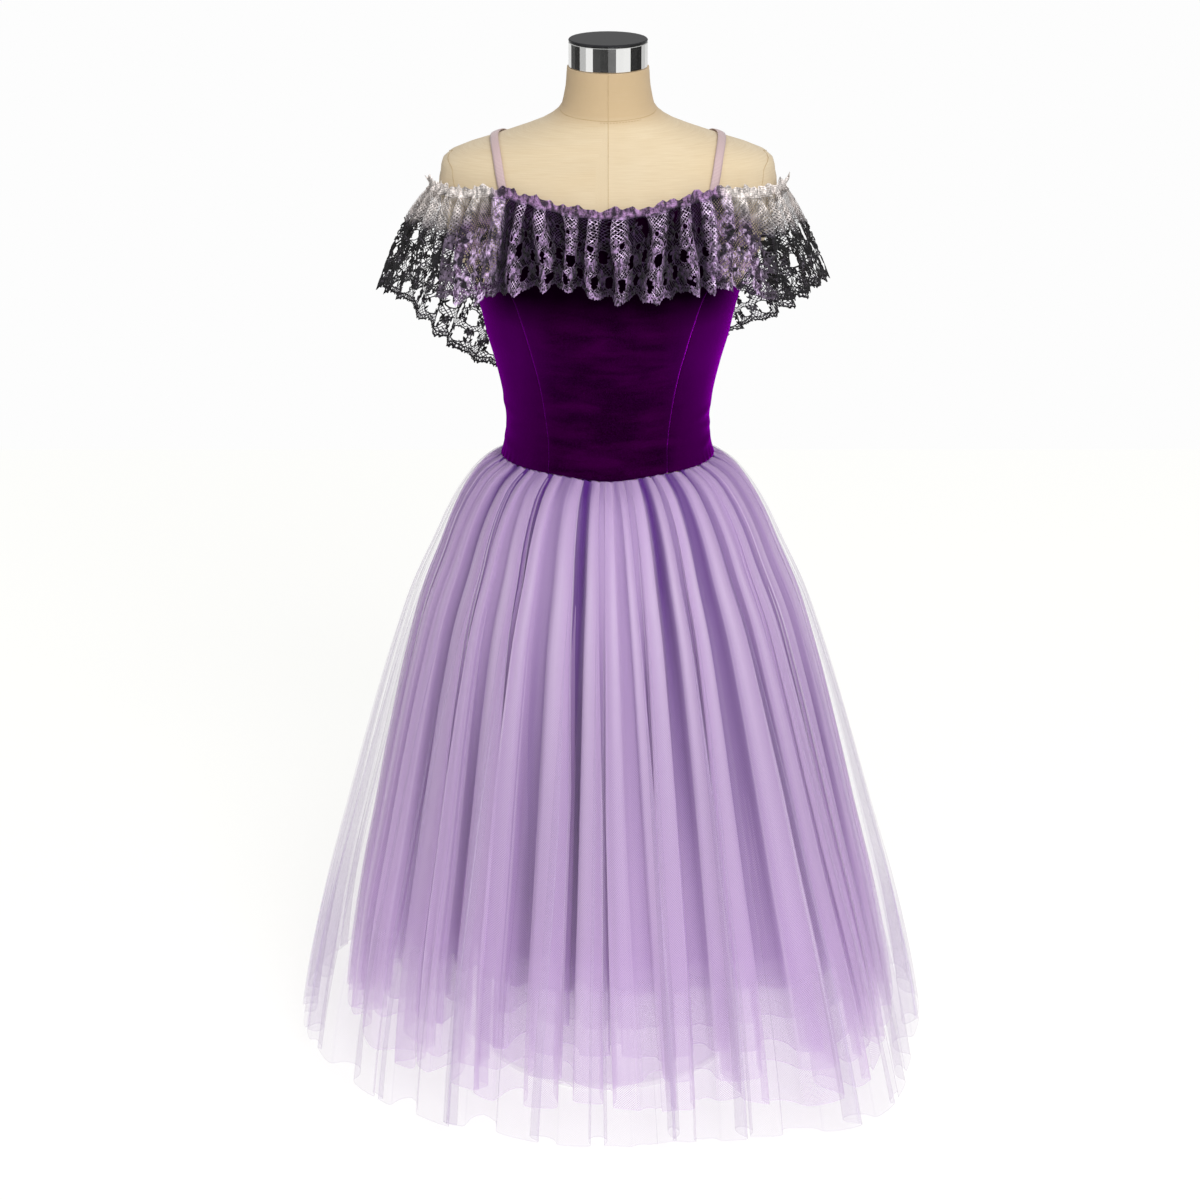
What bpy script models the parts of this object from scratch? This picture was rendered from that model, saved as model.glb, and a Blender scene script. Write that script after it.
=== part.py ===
"""A romantic ballet tutu on a limbless dress form.

Metres, +Z up. The origin is the middle of the stand's underside and the front faces -Y. Left and right are
the wearer's, so left is +X. Angles round the body are in degrees: 0 is the centre front, 90 the left side.
The bodice, straps, lace flounce and skirt layers are thin walls worn on the form, which stands on a pole.
"""
import math

import bpy
import bmesh
from mathutils import Vector

GAP = 0.0003            # left between pieces that touch
VELVET = 0.0016         # walls of cloth
TULLE = 0.0010
LACE = 0.0011
STRAP_THICK = 0.0012
STRAP_WIDE = 0.009

# linear red, green and blue
VELVET_PURPLE = (0.060, 0.002, 0.105)
STRAP_MAUVE = (0.58, 0.40, 0.52)
LACE_MAUVE = (0.10, 0.07, 0.12)
OUTER_LILAC = (0.52, 0.37, 0.66)
MIDDLE_LILAC = (0.50, 0.34, 0.65)
INNER_LILAC = (0.46, 0.30, 0.62)
LINING_LILAC = (0.42, 0.27, 0.58)
LINEN = (0.79, 0.66, 0.47)
CHROME = (0.55, 0.55, 0.56)
DARK_METAL = (0.05, 0.05, 0.055)
STAND_WHITE = (0.88, 0.88, 0.87)

BASE_RADIUS, BASE_THICK = 0.160, 0.010
POLE_RADIUS = 0.0125
CAP_RADIUS, CAP_BAND_TALL, CAP_TOP_TALL = 0.0442, 0.0275, 0.0030
CAP_SIDES, POLE_SIDES, BASE_SIDES = 32, 20, 40


def table(columns, *rows):
    """Rows of a table, lowest first, each with its named columns."""
    names = columns.split()
    return sorted((dict(zip(names, row)) for row in rows), key=lambda row: row[names[0]])


def between(rows, at, column):
    """A column of a table at a value of its first column, straight between rows."""
    key = next(iter(rows[0]))
    if at <= rows[0][key]:
        return rows[0][column]
    for low, high in zip(rows, rows[1:]):
        if at <= high[key]:
            share = (at - low[key]) / (high[key] - low[key])
            return low[column] + share * (high[column] - low[column])
    return rows[-1][column]


# The dress form, from its cut underside up to the top of the neck.
TORSO_SIDES = 24
SLOPE_STEP = 0.5                # degrees either way, to find which way the surface faces
TORSO = table(
    "height half_width front back squareness",
    (0.4700, 0.1500, 0.0980, 0.1000, 2.00),
    (0.4820, 0.1600, 0.1080, 0.1100, 2.00),
    (0.5400, 0.1660, 0.1160, 0.1220, 2.10),
    (0.6000, 0.1640, 0.1180, 0.1260, 2.10),
    (0.6600, 0.1535, 0.1120, 0.1130, 2.05),
    (0.7200, 0.1395, 0.1000, 0.0930, 2.00),
    (0.7680, 0.1200, 0.0900, 0.0810, 2.00),
    (0.8000, 0.1142, 0.0880, 0.0780, 2.00),
    (0.8400, 0.1175, 0.0950, 0.0820, 2.00),
    (0.8800, 0.1260, 0.1060, 0.0880, 2.00),
    (0.9150, 0.1355, 0.1150, 0.0940, 2.05),
    (0.9450, 0.1420, 0.1190, 0.0980, 2.10),
    (0.9750, 0.1510, 0.1170, 0.1010, 2.20),
    (1.0000, 0.1665, 0.1125, 0.1020, 2.30),
    (1.0350, 0.1820, 0.1025, 0.1010, 2.35),
    (1.0700, 0.1890, 0.0905, 0.0980, 2.35),
    (1.1000, 0.1890, 0.0800, 0.0910, 2.30),
    (1.1230, 0.1760, 0.0720, 0.0830, 2.25),
    (1.1400, 0.1240, 0.0655, 0.0740, 2.20),
    (1.1580, 0.0740, 0.0580, 0.0640, 2.10),
    (1.1700, 0.0565, 0.0520, 0.0575, 2.00),
    (1.1900, 0.0488, 0.0470, 0.0520, 2.00),
    (1.2180, 0.0458, 0.0460, 0.0480, 2.00),
)
BUST_ACROSS, BUST_HEIGHT, BUST_OUT, BUST_SPREAD = 0.074, 0.950, 0.016, 0.048

# The waist seam is level but for a shallow point at the centre front.
WAIST_HEIGHT, WAIST_POINT, WAIST_POINT_HALF_ANGLE = 0.7670, 0.0050, 20.0
SKIRT_BELOW_SEAM = 0.0014

BODICE_CLEAR = 0.0025
NECKLINE = table(
    "angle height",
    (0.0, 1.0690),
    (8.0, 1.0710),
    (19.0, 1.0800),
    (32.0, 1.0875),
    (38.0, 1.0400),
    (44.0, 1.0050),
    (60.0, 0.9760),
    (92.0, 0.9640),
    (130.0, 0.9560),
    (180.0, 0.9450),
)
PRINCESS_SEAM = table(
    "height angle",
    (0.7600, 33.5),
    (0.8200, 36.3),
    (0.8700, 37.3),
    (0.9200, 38.0),
    (0.9700, 40.5),
    (1.0300, 42.0),
)
SIDE_SEAM_ANGLE = 92.0
BODICE_LEVELS = (0.800, 0.840, 0.880, 0.915, 0.945, 0.975, 1.000, 1.035)
LEVELS_BEND_AT, LEVELS_END_AT = 0.945, 1.048    # above the first, levels close up under a low top edge
WHOLE_TOP, WAIST_RADIUS = 1.1, 0.12

STRAP_X_FRONT, STRAP_X_TOP, STRAP_X_BACK = 0.107, 0.127, 0.088
STRAP_CENTRE_HEIGHT, STRAP_RAYS = 1.030, 19
STRAP_TURNS = (41.0, 224.0)      # degrees from straight ahead over the shoulder
STRAP_CLEAR, STRAP_STEP = 0.0018, 0.05
BEYOND_SHOULDER = 0.25

# The off-shoulder flounce: where its elastic lies on the body, and where its lower edge hangs.
FLOUNCE = table(
    "angle head_height head_out hem_x hem_y hem_height",
    (0.0, 1.0735, 0.0050, 0.000, -0.150, 0.990),
    (8.0, 1.0755, 0.0050, 0.030, -0.149, 0.996),
    (19.0, 1.0840, 0.0050, 0.074, -0.143, 0.996),
    (32.0, 1.0910, 0.0053, 0.120, -0.130, 0.992),
    (57.0, 1.0890, 0.0074, 0.184, -0.096, 0.980),
    (90.0, 1.0830, 0.0085, 0.250, -0.008, 0.972),
    (112.0, 1.0460, 0.0080, 0.227, 0.064, 0.931),
    (128.0, 0.9980, 0.0068, 0.193, 0.114, 0.881),
    (142.0, 0.9640, 0.0062, 0.150, 0.141, 0.850),
    (160.0, 0.9560, 0.0062, 0.090, 0.160, 0.828),
    (180.0, 0.9500, 0.0062, 0.000, 0.166, 0.822),
)
FLOUNCE_WAVES = 44
FLOUNCE_CUT_ANGLE = 94.0        # where the loop is parted into its front and back nodes
HEADING_TALL = 0.006            # the little frill above the elastic
WAVE = ((0.15, -1.0), (0.51, 1.0), (0.85, 1.0))     # shares of one wave, in its valley and on its broad ridge
HANG_POWER, DROP_POWER, FLARE_FORWARD = 0.9, 1.1, 1.6
# Rows of the lace: share of the way from elastic to hem, half-depth of its waves, open net in the row below.
FLOUNCE_ROWS = table(
    "share depth net",
    (-0.05, 0.0022, False),
    (0.00, 0.0010, False),
    (0.22, 0.0045, True),
    (0.31, 0.0058, False),
    (0.48, 0.0080, True),
    (0.57, 0.0092, False),
    (0.73, 0.0110, True),
    (0.82, 0.0120, False),
    (1.00, 0.0140, False),
)
SCALLOP = 0.0070
SCALLOP_DRIFT = (0.7, 9.0, 0.6)     # of its depth, swells round the loop, and where they start
RIPPLE = (0.25, 7.0)                # how much deeper some waves are, and how often round the loop
FLOUNCE_LONGER_RIGHT = 1.035    # it reaches a little further on the wearer's right
FLOUNCE_BACK_TILT = 0.10        # and hangs lower there at the back

# The outline of the whole skirt over its folds.
SKIRT_OUTLINE = table(
    "height half_width front back",
    (0.7670, 0.1316, 0.1018, 0.0928),
    (0.7560, 0.1485, 0.1190, 0.1125),
    (0.7310, 0.1705, 0.1400, 0.1350),
    (0.7060, 0.1857, 0.1540, 0.1510),
    (0.6550, 0.2095, 0.1765, 0.1765),
    (0.6050, 0.2330, 0.1975, 0.1975),
    (0.5280, 0.2602, 0.2225, 0.2225),
    (0.4230, 0.2922, 0.2520, 0.2520),
    (0.3150, 0.3225, 0.2810, 0.2810),
    (0.2050, 0.3534, 0.3095, 0.3095),
    (0.0930, 0.3788, 0.3340, 0.3340),
    (0.0360, 0.3885, 0.3440, 0.3440),
)
# The valleys between the top layer's folds across the front, with depth against the deepest. The back has
# the like ones.
FRONT_VALLEYS = table(
    "angle depth",
    (-85.5, 0.70),
    (-76.0, 0.85),
    (-67.0, 0.60),
    (-57.5, 0.95),
    (-49.0, 0.75),
    (-39.5, 0.90),
    (-31.5, 0.60),
    (-22.5, 1.00),
    (-12.0, 0.75),
    (-3.5, 0.65),
    (3.0, 0.95),
    (10.5, 0.80),
    (17.5, 0.60),
    (24.5, 1.00),
    (33.0, 0.70),
    (42.0, 0.85),
    (51.0, 0.65),
    (61.5, 0.90),
    (73.0, 0.75),
    (84.5, 0.80),
)
# Rows of each layer: inset from the outline, and fold depth.
OUTER_ROWS = table(
    "height inset depth",
    (0.7670, 0.0010, 0.0040),
    (0.7560, 0.0010, 0.0080),
    (0.7310, 0.0010, 0.0110),
    (0.6550, 0.0010, 0.0150),
    (0.4230, 0.0010, 0.0240),
    (0.0380, 0.0010, 0.0360),
)
MIDDLE_ROWS = table(
    "height inset depth",
    (0.7670, 0.0066, 0.0000),
    (0.7450, 0.0140, 0.0040),
    (0.6550, 0.0190, 0.0100),
    (0.4230, 0.0290, 0.0170),
    (0.0750, 0.0430, 0.0220),
)
INNER_ROWS = table(
    "height inset depth",
    (0.7670, 0.0080, 0.0000),
    (0.7200, 0.0270, 0.0040),
    (0.5000, 0.0460, 0.0120),
    (0.1200, 0.0670, 0.0180),
)
LINING_ROWS = table(
    "height inset depth",
    (0.7670, 0.0094, 0.0000),
    (0.7200, 0.0330, 0.0030),
    (0.5000, 0.0600, 0.0100),
    (0.2020, 0.0880, 0.0140),
)
# Shares of the way from one valley to the next, and how much of each valley's depth is felt there.
FOLD = ((0.14, 1.0, 0.0), (0.36, 0.0, 0.0), (0.64, 0.0, 0.0), (0.86, 0.0, 1.0))
HEM_UNEVEN, HEM_SWELLS = 0.005, 11.0
SKIRT_SWAY = 0.0045             # the hem hangs this far to the wearer's left
# Where the hem swings out and down, at the front on the wearer's left.
CORNER_ANGLE, CORNER_HALF_ANGLE, CORNER_OUT, CORNER_DROP = 46.0, 17.0, 0.045, 0.012
MIDDLE_FOLDS, INNER_FOLDS, LINING_FOLDS = 28, 20, 14
UNEVEN_PLACE, UNEVEN_DEPTH = (0.18, 2.4), (0.2, 1.7)    # of a hidden fold: how much, and how fast it changes


def folded_angle(angle):
    """The same place on the left half of the body, from 0 at the front to 180 at the back."""
    turned = (angle + 180.0) % 360.0 - 180.0
    return abs(turned)


def torso_ring(height):
    """The half-width, front, back and squareness of the dress form at a height."""
    return tuple(between(TORSO, height, column) for column in ("half_width", "front", "back", "squareness"))


def body(angle, height, out=0.0):
    """A point on the dress form, or a distance straight out of it."""
    half_width, front, back, squareness = torso_ring(height)
    power = 2.0 / squareness

    def on_ring(degrees):
        sine, cosine = math.sin(math.radians(degrees)), math.cos(math.radians(degrees))
        x = half_width * math.copysign(abs(sine) ** power, sine)
        y = -(front if cosine > 0 else back) * math.copysign(abs(cosine) ** power, cosine)
        if cosine > 0:
            away = ((abs(x) - BUST_ACROSS) ** 2 + (height - BUST_HEIGHT) ** 2) / BUST_SPREAD ** 2
            y -= BUST_OUT * math.exp(-away) * cosine ** 0.5
        return x, y

    x0, y0 = on_ring(angle - SLOPE_STEP)
    x1, y1 = on_ring(angle + SLOPE_STEP)
    length = math.hypot(x1 - x0, y1 - y0)
    x, y = on_ring(angle)
    return x + out * (y1 - y0) / length, y - out * (x1 - x0) / length, height


def waist(angle):
    """The height of the waist seam."""
    return WAIST_HEIGHT - WAIST_POINT * math.exp(-(folded_angle(angle) / WAIST_POINT_HALF_ANGLE) ** 2)


def new_object(name, mesh, colour, roughness, metallic=0.0):
    material = bpy.data.materials.new(name)
    material.use_nodes = True
    shader = material.node_tree.nodes["Principled BSDF"]
    shader.inputs["Base Color"].default_value = (*colour, 1.0)
    shader.inputs["Roughness"].default_value = roughness
    shader.inputs["Metallic"].default_value = metallic
    made = bpy.data.objects.new(name, mesh)
    made.data.materials.append(material)
    collection.objects.link(made)
    return made


def loft(name, rows, around, open_cells=(), caps=False):
    """A surface over rows of points that run from bottom to top, each counter-clockwise seen from above."""
    shape = bmesh.new()
    points = [[shape.verts.new(point) for point in row] for row in rows]
    columns = len(rows[0])
    for row in range(len(rows) - 1):
        for column in range(columns if around else columns - 1):
            following = (column + 1) % columns
            if (row, column) not in open_cells:
                shape.faces.new((points[row][column], points[row][following],
                                 points[row + 1][following], points[row + 1][column]))
    if caps:
        shape.faces.new(list(reversed(points[0])))
        shape.faces.new(points[-1])
    loose = [point for point in shape.verts if not point.link_faces]
    bmesh.ops.delete(shape, geom=loose, context="VERTS")
    mesh = bpy.data.meshes.new(name)
    shape.to_mesh(mesh)
    shape.free()
    return mesh


def cloth(name, rows, around, thickness, colour, roughness, open_cells=()):
    """A wall of cloth whose inner face is the given surface."""
    piece = new_object(name, loft(name, rows, around, open_cells), colour, roughness)
    wall = piece.modifiers.new("wall", "SOLIDIFY")
    wall.thickness = thickness
    wall.offset = 1.0
    return piece


def smooth(piece, sharp_over=40.0):
    piece.data.shade_smooth()
    piece.data.set_sharp_from_angle(angle=math.radians(sharp_over))


def disc(name, radius, low, high, sides, edge, colour, roughness, metallic=0.0):
    """An upright round piece with rounded edges."""
    shape = bmesh.new()
    bmesh.ops.create_cone(shape, cap_ends=True, segments=sides, radius1=radius, radius2=radius,
                          depth=high - low)
    mesh = bpy.data.meshes.new(name)
    shape.to_mesh(mesh)
    shape.free()
    piece = new_object(name, mesh, colour, roughness, metallic)
    piece.location = (0.0, 0.0, (low + high) / 2)
    if edge:
        rounded = piece.modifiers.new("edge", "BEVEL")
        rounded.width = edge
        rounded.segments = 1
        rounded.angle_limit = math.radians(60.0)
    smooth(piece)
    return piece


def dress_form():
    """The linen-covered torso, its neck cap, and the plain stand."""
    step = 360.0 / TORSO_SIDES
    rings = [[body(step * side, row["height"]) for side in range(TORSO_SIDES)] for row in TORSO]
    torso = new_object("form_torso", loft("form_torso", rings, True, caps=True), LINEN, 0.85)
    smooth(torso, 60.0)
    neck_top, torso_low = TORSO[-1]["height"], TORSO[0]["height"]
    band_low = neck_top + GAP
    band_high = band_low + CAP_BAND_TALL
    disc("form_neck_cap_band", CAP_RADIUS, band_low, band_high, CAP_SIDES, 0.0008, CHROME, 0.15, 1.0)
    top_low = band_high + GAP
    disc("form_neck_cap_top", CAP_RADIUS, top_low, top_low + CAP_TOP_TALL, CAP_SIDES, 0.0010,
         DARK_METAL, 0.3, 0.8)
    disc("form_pole", POLE_RADIUS, BASE_THICK + GAP, torso_low - GAP, POLE_SIDES, 0.0, STAND_WHITE, 0.5)
    disc("form_base", BASE_RADIUS, 0.0, BASE_THICK, BASE_SIDES, 0.002, STAND_WHITE, 0.5)


def bodice_panel(name, seam_right, seam_left, columns):
    """A velvet panel between two seams, each of which gives an angle for a height."""
    half_gap = math.degrees(GAP / 2 / WAIST_RADIUS)
    rows = [[] for _ in range(len(BODICE_LEVELS) + 2)]
    for column in range(columns + 1):
        share = column / columns
        inward = half_gap if column == 0 else -half_gap if column == columns else 0.0

        def across(height):
            return seam_right(height) + share * (seam_left(height) - seam_right(height)) + inward

        top = between(NECKLINE, folded_angle(across(WHOLE_TOP)), "height")
        close_up = min(1.0, (top - LEVELS_BEND_AT) / (LEVELS_END_AT - LEVELS_BEND_AT))
        heights = [level if level <= LEVELS_BEND_AT else LEVELS_BEND_AT + (level - LEVELS_BEND_AT) * close_up
                   for level in BODICE_LEVELS]
        rows[0].append(body(across(WAIST_HEIGHT), waist(across(WAIST_HEIGHT)), BODICE_CLEAR))
        for row, height in zip(rows[1:], (*heights, top)):
            row.append(body(across(height), height, BODICE_CLEAR))
    smooth(cloth(name, rows, False, VELVET, VELVET_PURPLE, 0.7))


def bodice():
    def princess(height):
        return between(PRINCESS_SEAM, height, "angle")

    bodice_panel("bodice_front_centre", lambda h: -princess(h), princess, 8)
    bodice_panel("bodice_side_front_left", princess, lambda h: SIDE_SEAM_ANGLE, 6)
    bodice_panel("bodice_side_front_right", lambda h: -SIDE_SEAM_ANGLE, lambda h: -princess(h), 6)
    bodice_panel("bodice_back_left", lambda h: SIDE_SEAM_ANGLE, lambda h: 180.0, 6)
    bodice_panel("bodice_back_right", lambda h: -180.0, lambda h: -SIDE_SEAM_ANGLE, 6)


def inside_body(x, y, z):
    if z > TORSO[-1]["height"]:
        return False
    half_width, front, back, squareness = torso_ring(z)
    return abs(x / half_width) ** squareness + abs(y / (front if y < 0 else back)) ** squareness < 1.0


def on_shoulder(x, turn):
    """The form's surface at x, at a turn from straight ahead over the shoulder to the back."""
    near, far = 0.0, BEYOND_SHOULDER
    for _ in range(30):
        middle = (near + far) / 2
        if inside_body(x, -middle * math.cos(turn), STRAP_CENTRE_HEIGHT + middle * math.sin(turn)):
            near = middle
        else:
            far = middle
    return Vector((x, -near * math.cos(turn), STRAP_CENTRE_HEIGHT + near * math.sin(turn)))


def strap(name, side):
    """A narrow strap over one shoulder, between the bodice's front and back top edges."""
    front_turn, back_turn = (math.radians(turn) for turn in STRAP_TURNS)
    edges = {-1: [], 1: []}
    for ray in range(STRAP_RAYS):
        turn = front_turn + (back_turn - front_turn) * ray / (STRAP_RAYS - 1)
        ahead = math.cos(turn)
        end_x = STRAP_X_FRONT if ahead > 0 else STRAP_X_BACK
        centre = STRAP_X_TOP + (end_x - STRAP_X_TOP) * ahead ** 2
        for edge in (-1, 1):
            x = centre + edge * STRAP_WIDE / 2
            along = on_shoulder(x, turn + STRAP_STEP) - on_shoulder(x, turn - STRAP_STEP)
            across = on_shoulder(x + STRAP_WIDE / 2, turn) - on_shoulder(x - STRAP_WIDE / 2, turn)
            lifted = on_shoulder(x, turn) + across.cross(along).normalized() * STRAP_CLEAR
            edges[edge].append((side * lifted.x, lifted.y, lifted.z))
    rows = [edges[1], edges[-1]] if side > 0 else [edges[-1], edges[1]]
    smooth(cloth(name, rows, False, STRAP_THICK, STRAP_MAUVE, 0.6))


def lace_point(angle, ridge, row):
    """A point of the flounce at an angle, on a ridge (1) or in a valley (-1) of its waves."""
    half = folded_angle(angle)
    mirror = 1.0 if angle > 0 else -1.0
    at = {column: between(FLOUNCE, half, column) for column in FLOUNCE[0]}
    head_x, head_y, head_z = body(half, at["head_height"], at["head_out"])
    hem_x, hem_y, hem_z = at["hem_x"], at["hem_y"], at["hem_height"]
    if mirror < 0:
        hem_x *= FLOUNCE_LONGER_RIGHT
    hem_z += mirror * FLOUNCE_BACK_TILT * hem_x * max(0.0, hem_y) / FLOUNCE[-1]["hem_y"]
    share = max(0.0, row["share"])
    if row["share"] < 0:
        head_z += HEADING_TALL
    hang, drop = share ** HANG_POWER, share ** DROP_POWER
    x, y = head_x + hang * (hem_x - head_x), head_y + hang * (hem_y - head_y)
    z = head_z + drop * (hem_z - head_z)
    around = math.radians(angle)
    if share == 1.0:
        drift, swells, start = SCALLOP_DRIFT
        z -= SCALLOP * (ridge + drift * math.sin(around * swells + start))
    out_x, out_y = hem_x, hem_y * FLARE_FORWARD
    push = ridge * row["depth"] * (1.0 + RIPPLE[0] * math.sin(around * RIPPLE[1])) / math.hypot(out_x, out_y)
    return mirror * (x + push * out_x), y + push * out_y, z


def flounce():
    """The gathered lace, worked out as one loop and parted at the sides."""
    wave_turn = 360.0 / FLOUNCE_WAVES
    columns = [((wave + share) * wave_turn - 180.0, ridge)
               for wave in range(FLOUNCE_WAVES) for share, ridge in WAVE]
    front = [column for column in columns if folded_angle(column[0]) < FLOUNCE_CUT_ANGLE]
    back = [column for column in columns if folded_angle(column[0]) >= FLOUNCE_CUT_ANGLE]
    back.sort(key=lambda column: column[0] % 360.0)
    ladder = FLOUNCE_ROWS[::-1]
    for name, chosen in (("lace_flounce_front", front), ("lace_flounce_back", back)):
        rows = [[lace_point(angle, ridge, row) for angle, ridge in chosen] for row in ladder]
        open_cells = {(index - 1, column)
                      for index, row in enumerate(ladder) if row["net"]
                      for column in range(1, len(chosen) - 2)
                      if chosen[column][1] > 0 and chosen[column + 1][1] > 0}
        smooth(cloth(name, rows, False, LACE, LACE_MAUVE, 0.8, open_cells))


def even_valleys(count, start):
    """Valleys round a hidden layer, a little uneven."""
    valleys = []
    for k in range(count):
        shift = UNEVEN_PLACE[0] * math.sin(UNEVEN_PLACE[1] * k)
        depth = 1.0 - UNEVEN_DEPTH[0] * (1.0 - math.sin(UNEVEN_DEPTH[1] * k))
        valleys.append((360.0 * (k + shift) / count + start, depth))
    return valleys


def front_and_back_valleys():
    front = [(valley["angle"], valley["depth"]) for valley in FRONT_VALLEYS]
    return front + [(180.0 - angle, depth) for angle, depth in reversed(front)]


def skirt_layer(name, valleys, rows, colour):
    """One gathered tube of cloth from the waist seam to its hem."""
    columns = []
    round_again = (valleys[0][0] + 360.0, valleys[0][1])
    for (start, depth), (end, next_depth) in zip(valleys, [*valleys[1:], round_again]):
        for share, near, far in FOLD:
            columns.append((start + share * (end - start), depth * near + next_depth * far))
    rings = []
    for row in rows:
        height = row["height"]
        hung = (WAIST_HEIGHT - height) / (WAIST_HEIGHT - SKIRT_OUTLINE[0]["height"])
        ring = []
        for angle, fold_depth in columns:
            around = math.radians(angle)
            corner = math.exp(-((angle - CORNER_ANGLE) / CORNER_HALF_ANGLE) ** 2) * hung ** 2
            out = CORNER_OUT * corner - row["inset"] - row["depth"] * fold_depth
            half_width = between(SKIRT_OUTLINE, height, "half_width") + out
            half_depth = between(SKIRT_OUTLINE, height, "front" if math.cos(around) > 0 else "back") + out
            z = height - CORNER_DROP * corner
            if row is rows[-1]:
                z = waist(angle) - SKIRT_BELOW_SEAM
            elif row is rows[0]:
                z += HEM_UNEVEN * math.sin(around * HEM_SWELLS + len(valleys)) * (0.5 + fold_depth)
            x = half_width * math.sin(around) + SKIRT_SWAY * hung
            ring.append((x, -half_depth * math.cos(around), z))
        rings.append(ring)
    smooth(cloth(name, rings, True, TULLE, colour, 0.6))


def skirt():
    skirt_layer("skirt_tulle_outer", front_and_back_valleys(), OUTER_ROWS, OUTER_LILAC)
    skirt_layer("skirt_tulle_middle", even_valleys(MIDDLE_FOLDS, 5.0), MIDDLE_ROWS, MIDDLE_LILAC)
    skirt_layer("skirt_tulle_inner", even_valleys(INNER_FOLDS, 2.0), INNER_ROWS, INNER_LILAC)
    skirt_layer("skirt_lining", even_valleys(LINING_FOLDS, 8.0), LINING_ROWS, LINING_LILAC)


for old in list(bpy.data.objects):
    bpy.data.objects.remove(old)
collection = bpy.data.collections.new("ballet_tutu_on_dress_form")
bpy.context.scene.collection.children.link(collection)

dress_form()
bodice()
strap("strap_left", 1)
strap("strap_right", -1)
flounce()
skirt()
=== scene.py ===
"""The looks of a romantic ballet tutu on a limbless dress form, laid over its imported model.

Metres, +Z up, and the front faces -Y. Left and right are the wearer's, so left is +X. Angles round the body
are in degrees: 0 is the centre front, 90 the left side and 180 the centre back.
"""
import math

import bpy
import mathutils
import numpy as np
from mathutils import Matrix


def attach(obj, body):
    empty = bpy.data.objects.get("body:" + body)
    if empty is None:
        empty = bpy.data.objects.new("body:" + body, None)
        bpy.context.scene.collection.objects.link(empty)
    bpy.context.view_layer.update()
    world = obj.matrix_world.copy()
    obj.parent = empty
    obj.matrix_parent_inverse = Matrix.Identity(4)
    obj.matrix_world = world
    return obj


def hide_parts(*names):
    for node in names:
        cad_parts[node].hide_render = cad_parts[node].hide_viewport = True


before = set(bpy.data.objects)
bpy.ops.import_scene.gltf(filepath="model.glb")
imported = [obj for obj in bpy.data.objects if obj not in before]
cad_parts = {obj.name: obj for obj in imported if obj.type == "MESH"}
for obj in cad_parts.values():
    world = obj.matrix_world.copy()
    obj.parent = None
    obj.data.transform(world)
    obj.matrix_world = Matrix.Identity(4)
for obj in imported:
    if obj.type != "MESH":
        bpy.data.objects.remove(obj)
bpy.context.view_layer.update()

# ---------------------------------------------------------------------------------------------------------
# The stand: a pole and a round base plate of steel, powder-coated white. They hold the form up from below,
# under the skirt, and keep their solids' shapes.
# ---------------------------------------------------------------------------------------------------------


def linear(colour):
    """An sRGB hex colour as linear red, green, blue and alpha."""
    parts = (int(colour[k:k + 2], 16) / 255.0 for k in (1, 3, 5))
    return (*(part / 12.92 if part <= 0.04045 else ((part + 0.055) / 1.055) ** 2.4 for part in parts), 1.0)


def add_node(tree, kind, inputs=(), **settings):
    """A node with its settings; inputs maps a socket to a value or to another node's output."""
    made = tree.nodes.new(kind)
    for name, value in settings.items():
        setattr(made, name, value)
    for socket, value in dict(inputs).items():
        if isinstance(value, bpy.types.NodeSocket):
            tree.links.new(value, made.inputs[socket])
        else:
            made.inputs[socket].default_value = value
    return made


def new_material(name, **shader_inputs):
    """A material and its Principled shader; an input's name has _ for a space."""
    material = bpy.data.materials.new(name)
    material.use_nodes = True
    shader = material.node_tree.nodes["Principled BSDF"]
    for name, value in shader_inputs.items():
        shader.inputs[name.replace("_", " ")].default_value = value
    return material, material.node_tree, shader


def feed(tree, shader, **outputs):
    """Nodes' outputs drive the shader's inputs; an input's name has _ for a space."""
    for name, output in outputs.items():
        tree.links.new(output, shader.inputs[name.replace("_", " ")])


# Powder coat on steel: satin, with the faint orange peel of sprayed and baked powder, about 1.5 mm across.
ORANGE_PEEL = 0.0015
# It also glows faintly: a painted light that keeps the plate as white as the floor in the skirt's shade.
glowing_powder_coat, tree, shader = new_material("powder_coated_steel", Roughness=0.42, Base_Color=linear("#f8f8f6"),
                                         Emission_Color=linear("#ffffff"), Emission_Strength=0.12)
place = add_node(tree, "ShaderNodeTexCoord").outputs["Object"]
peel = add_node(tree, "ShaderNodeTexNoise", {"Vector": place, "Scale": 1 / ORANGE_PEEL, "Detail": 1.0})
bump = add_node(tree, "ShaderNodeBump", {"Height": peel.outputs["Fac"], "Strength": 0.15, "Distance": 0.0003})
feed(tree, shader, Normal=bump.outputs["Normal"])
for name in ("form_pole", "form_base"):
    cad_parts[name].data.materials[0] = glowing_powder_coat

# ---------------------------------------------------------------------------------------------------------
# The dress form: a padded torso covered in natural linen, cut in a front and a back with a collar round the
# neck. Its seams are sewn closed with a matching thread and pressed flat.
# ---------------------------------------------------------------------------------------------------------


def table(columns, *rows):
    """Rows of a table, lowest first, each with its named columns."""
    names = columns.split()
    return sorted((dict(zip(names, row)) for row in rows), key=lambda row: row[names[0]])


def curve_of(rows, at, column):
    """A column of a table at values of its first column, on a smooth curve through the rows."""
    key = next(iter(rows[0]))
    x = np.array([row[key] for row in rows])
    y = np.array([row[column] for row in rows])
    at = np.clip(np.asarray(at, float), x[0], x[-1])
    slope = np.gradient(y, x)
    low = np.clip(np.searchsorted(x, at, side="right") - 1, 0, len(x) - 2)
    wide = x[low + 1] - x[low]
    t = (at - x[low]) / wide
    return ((1 + 2 * t) * (1 - t) ** 2 * y[low] + t * (1 - t) ** 2 * wide * slope[low]
            + t * t * (3 - 2 * t) * y[low + 1] - t * t * (1 - t) * wide * slope[low + 1])


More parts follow.
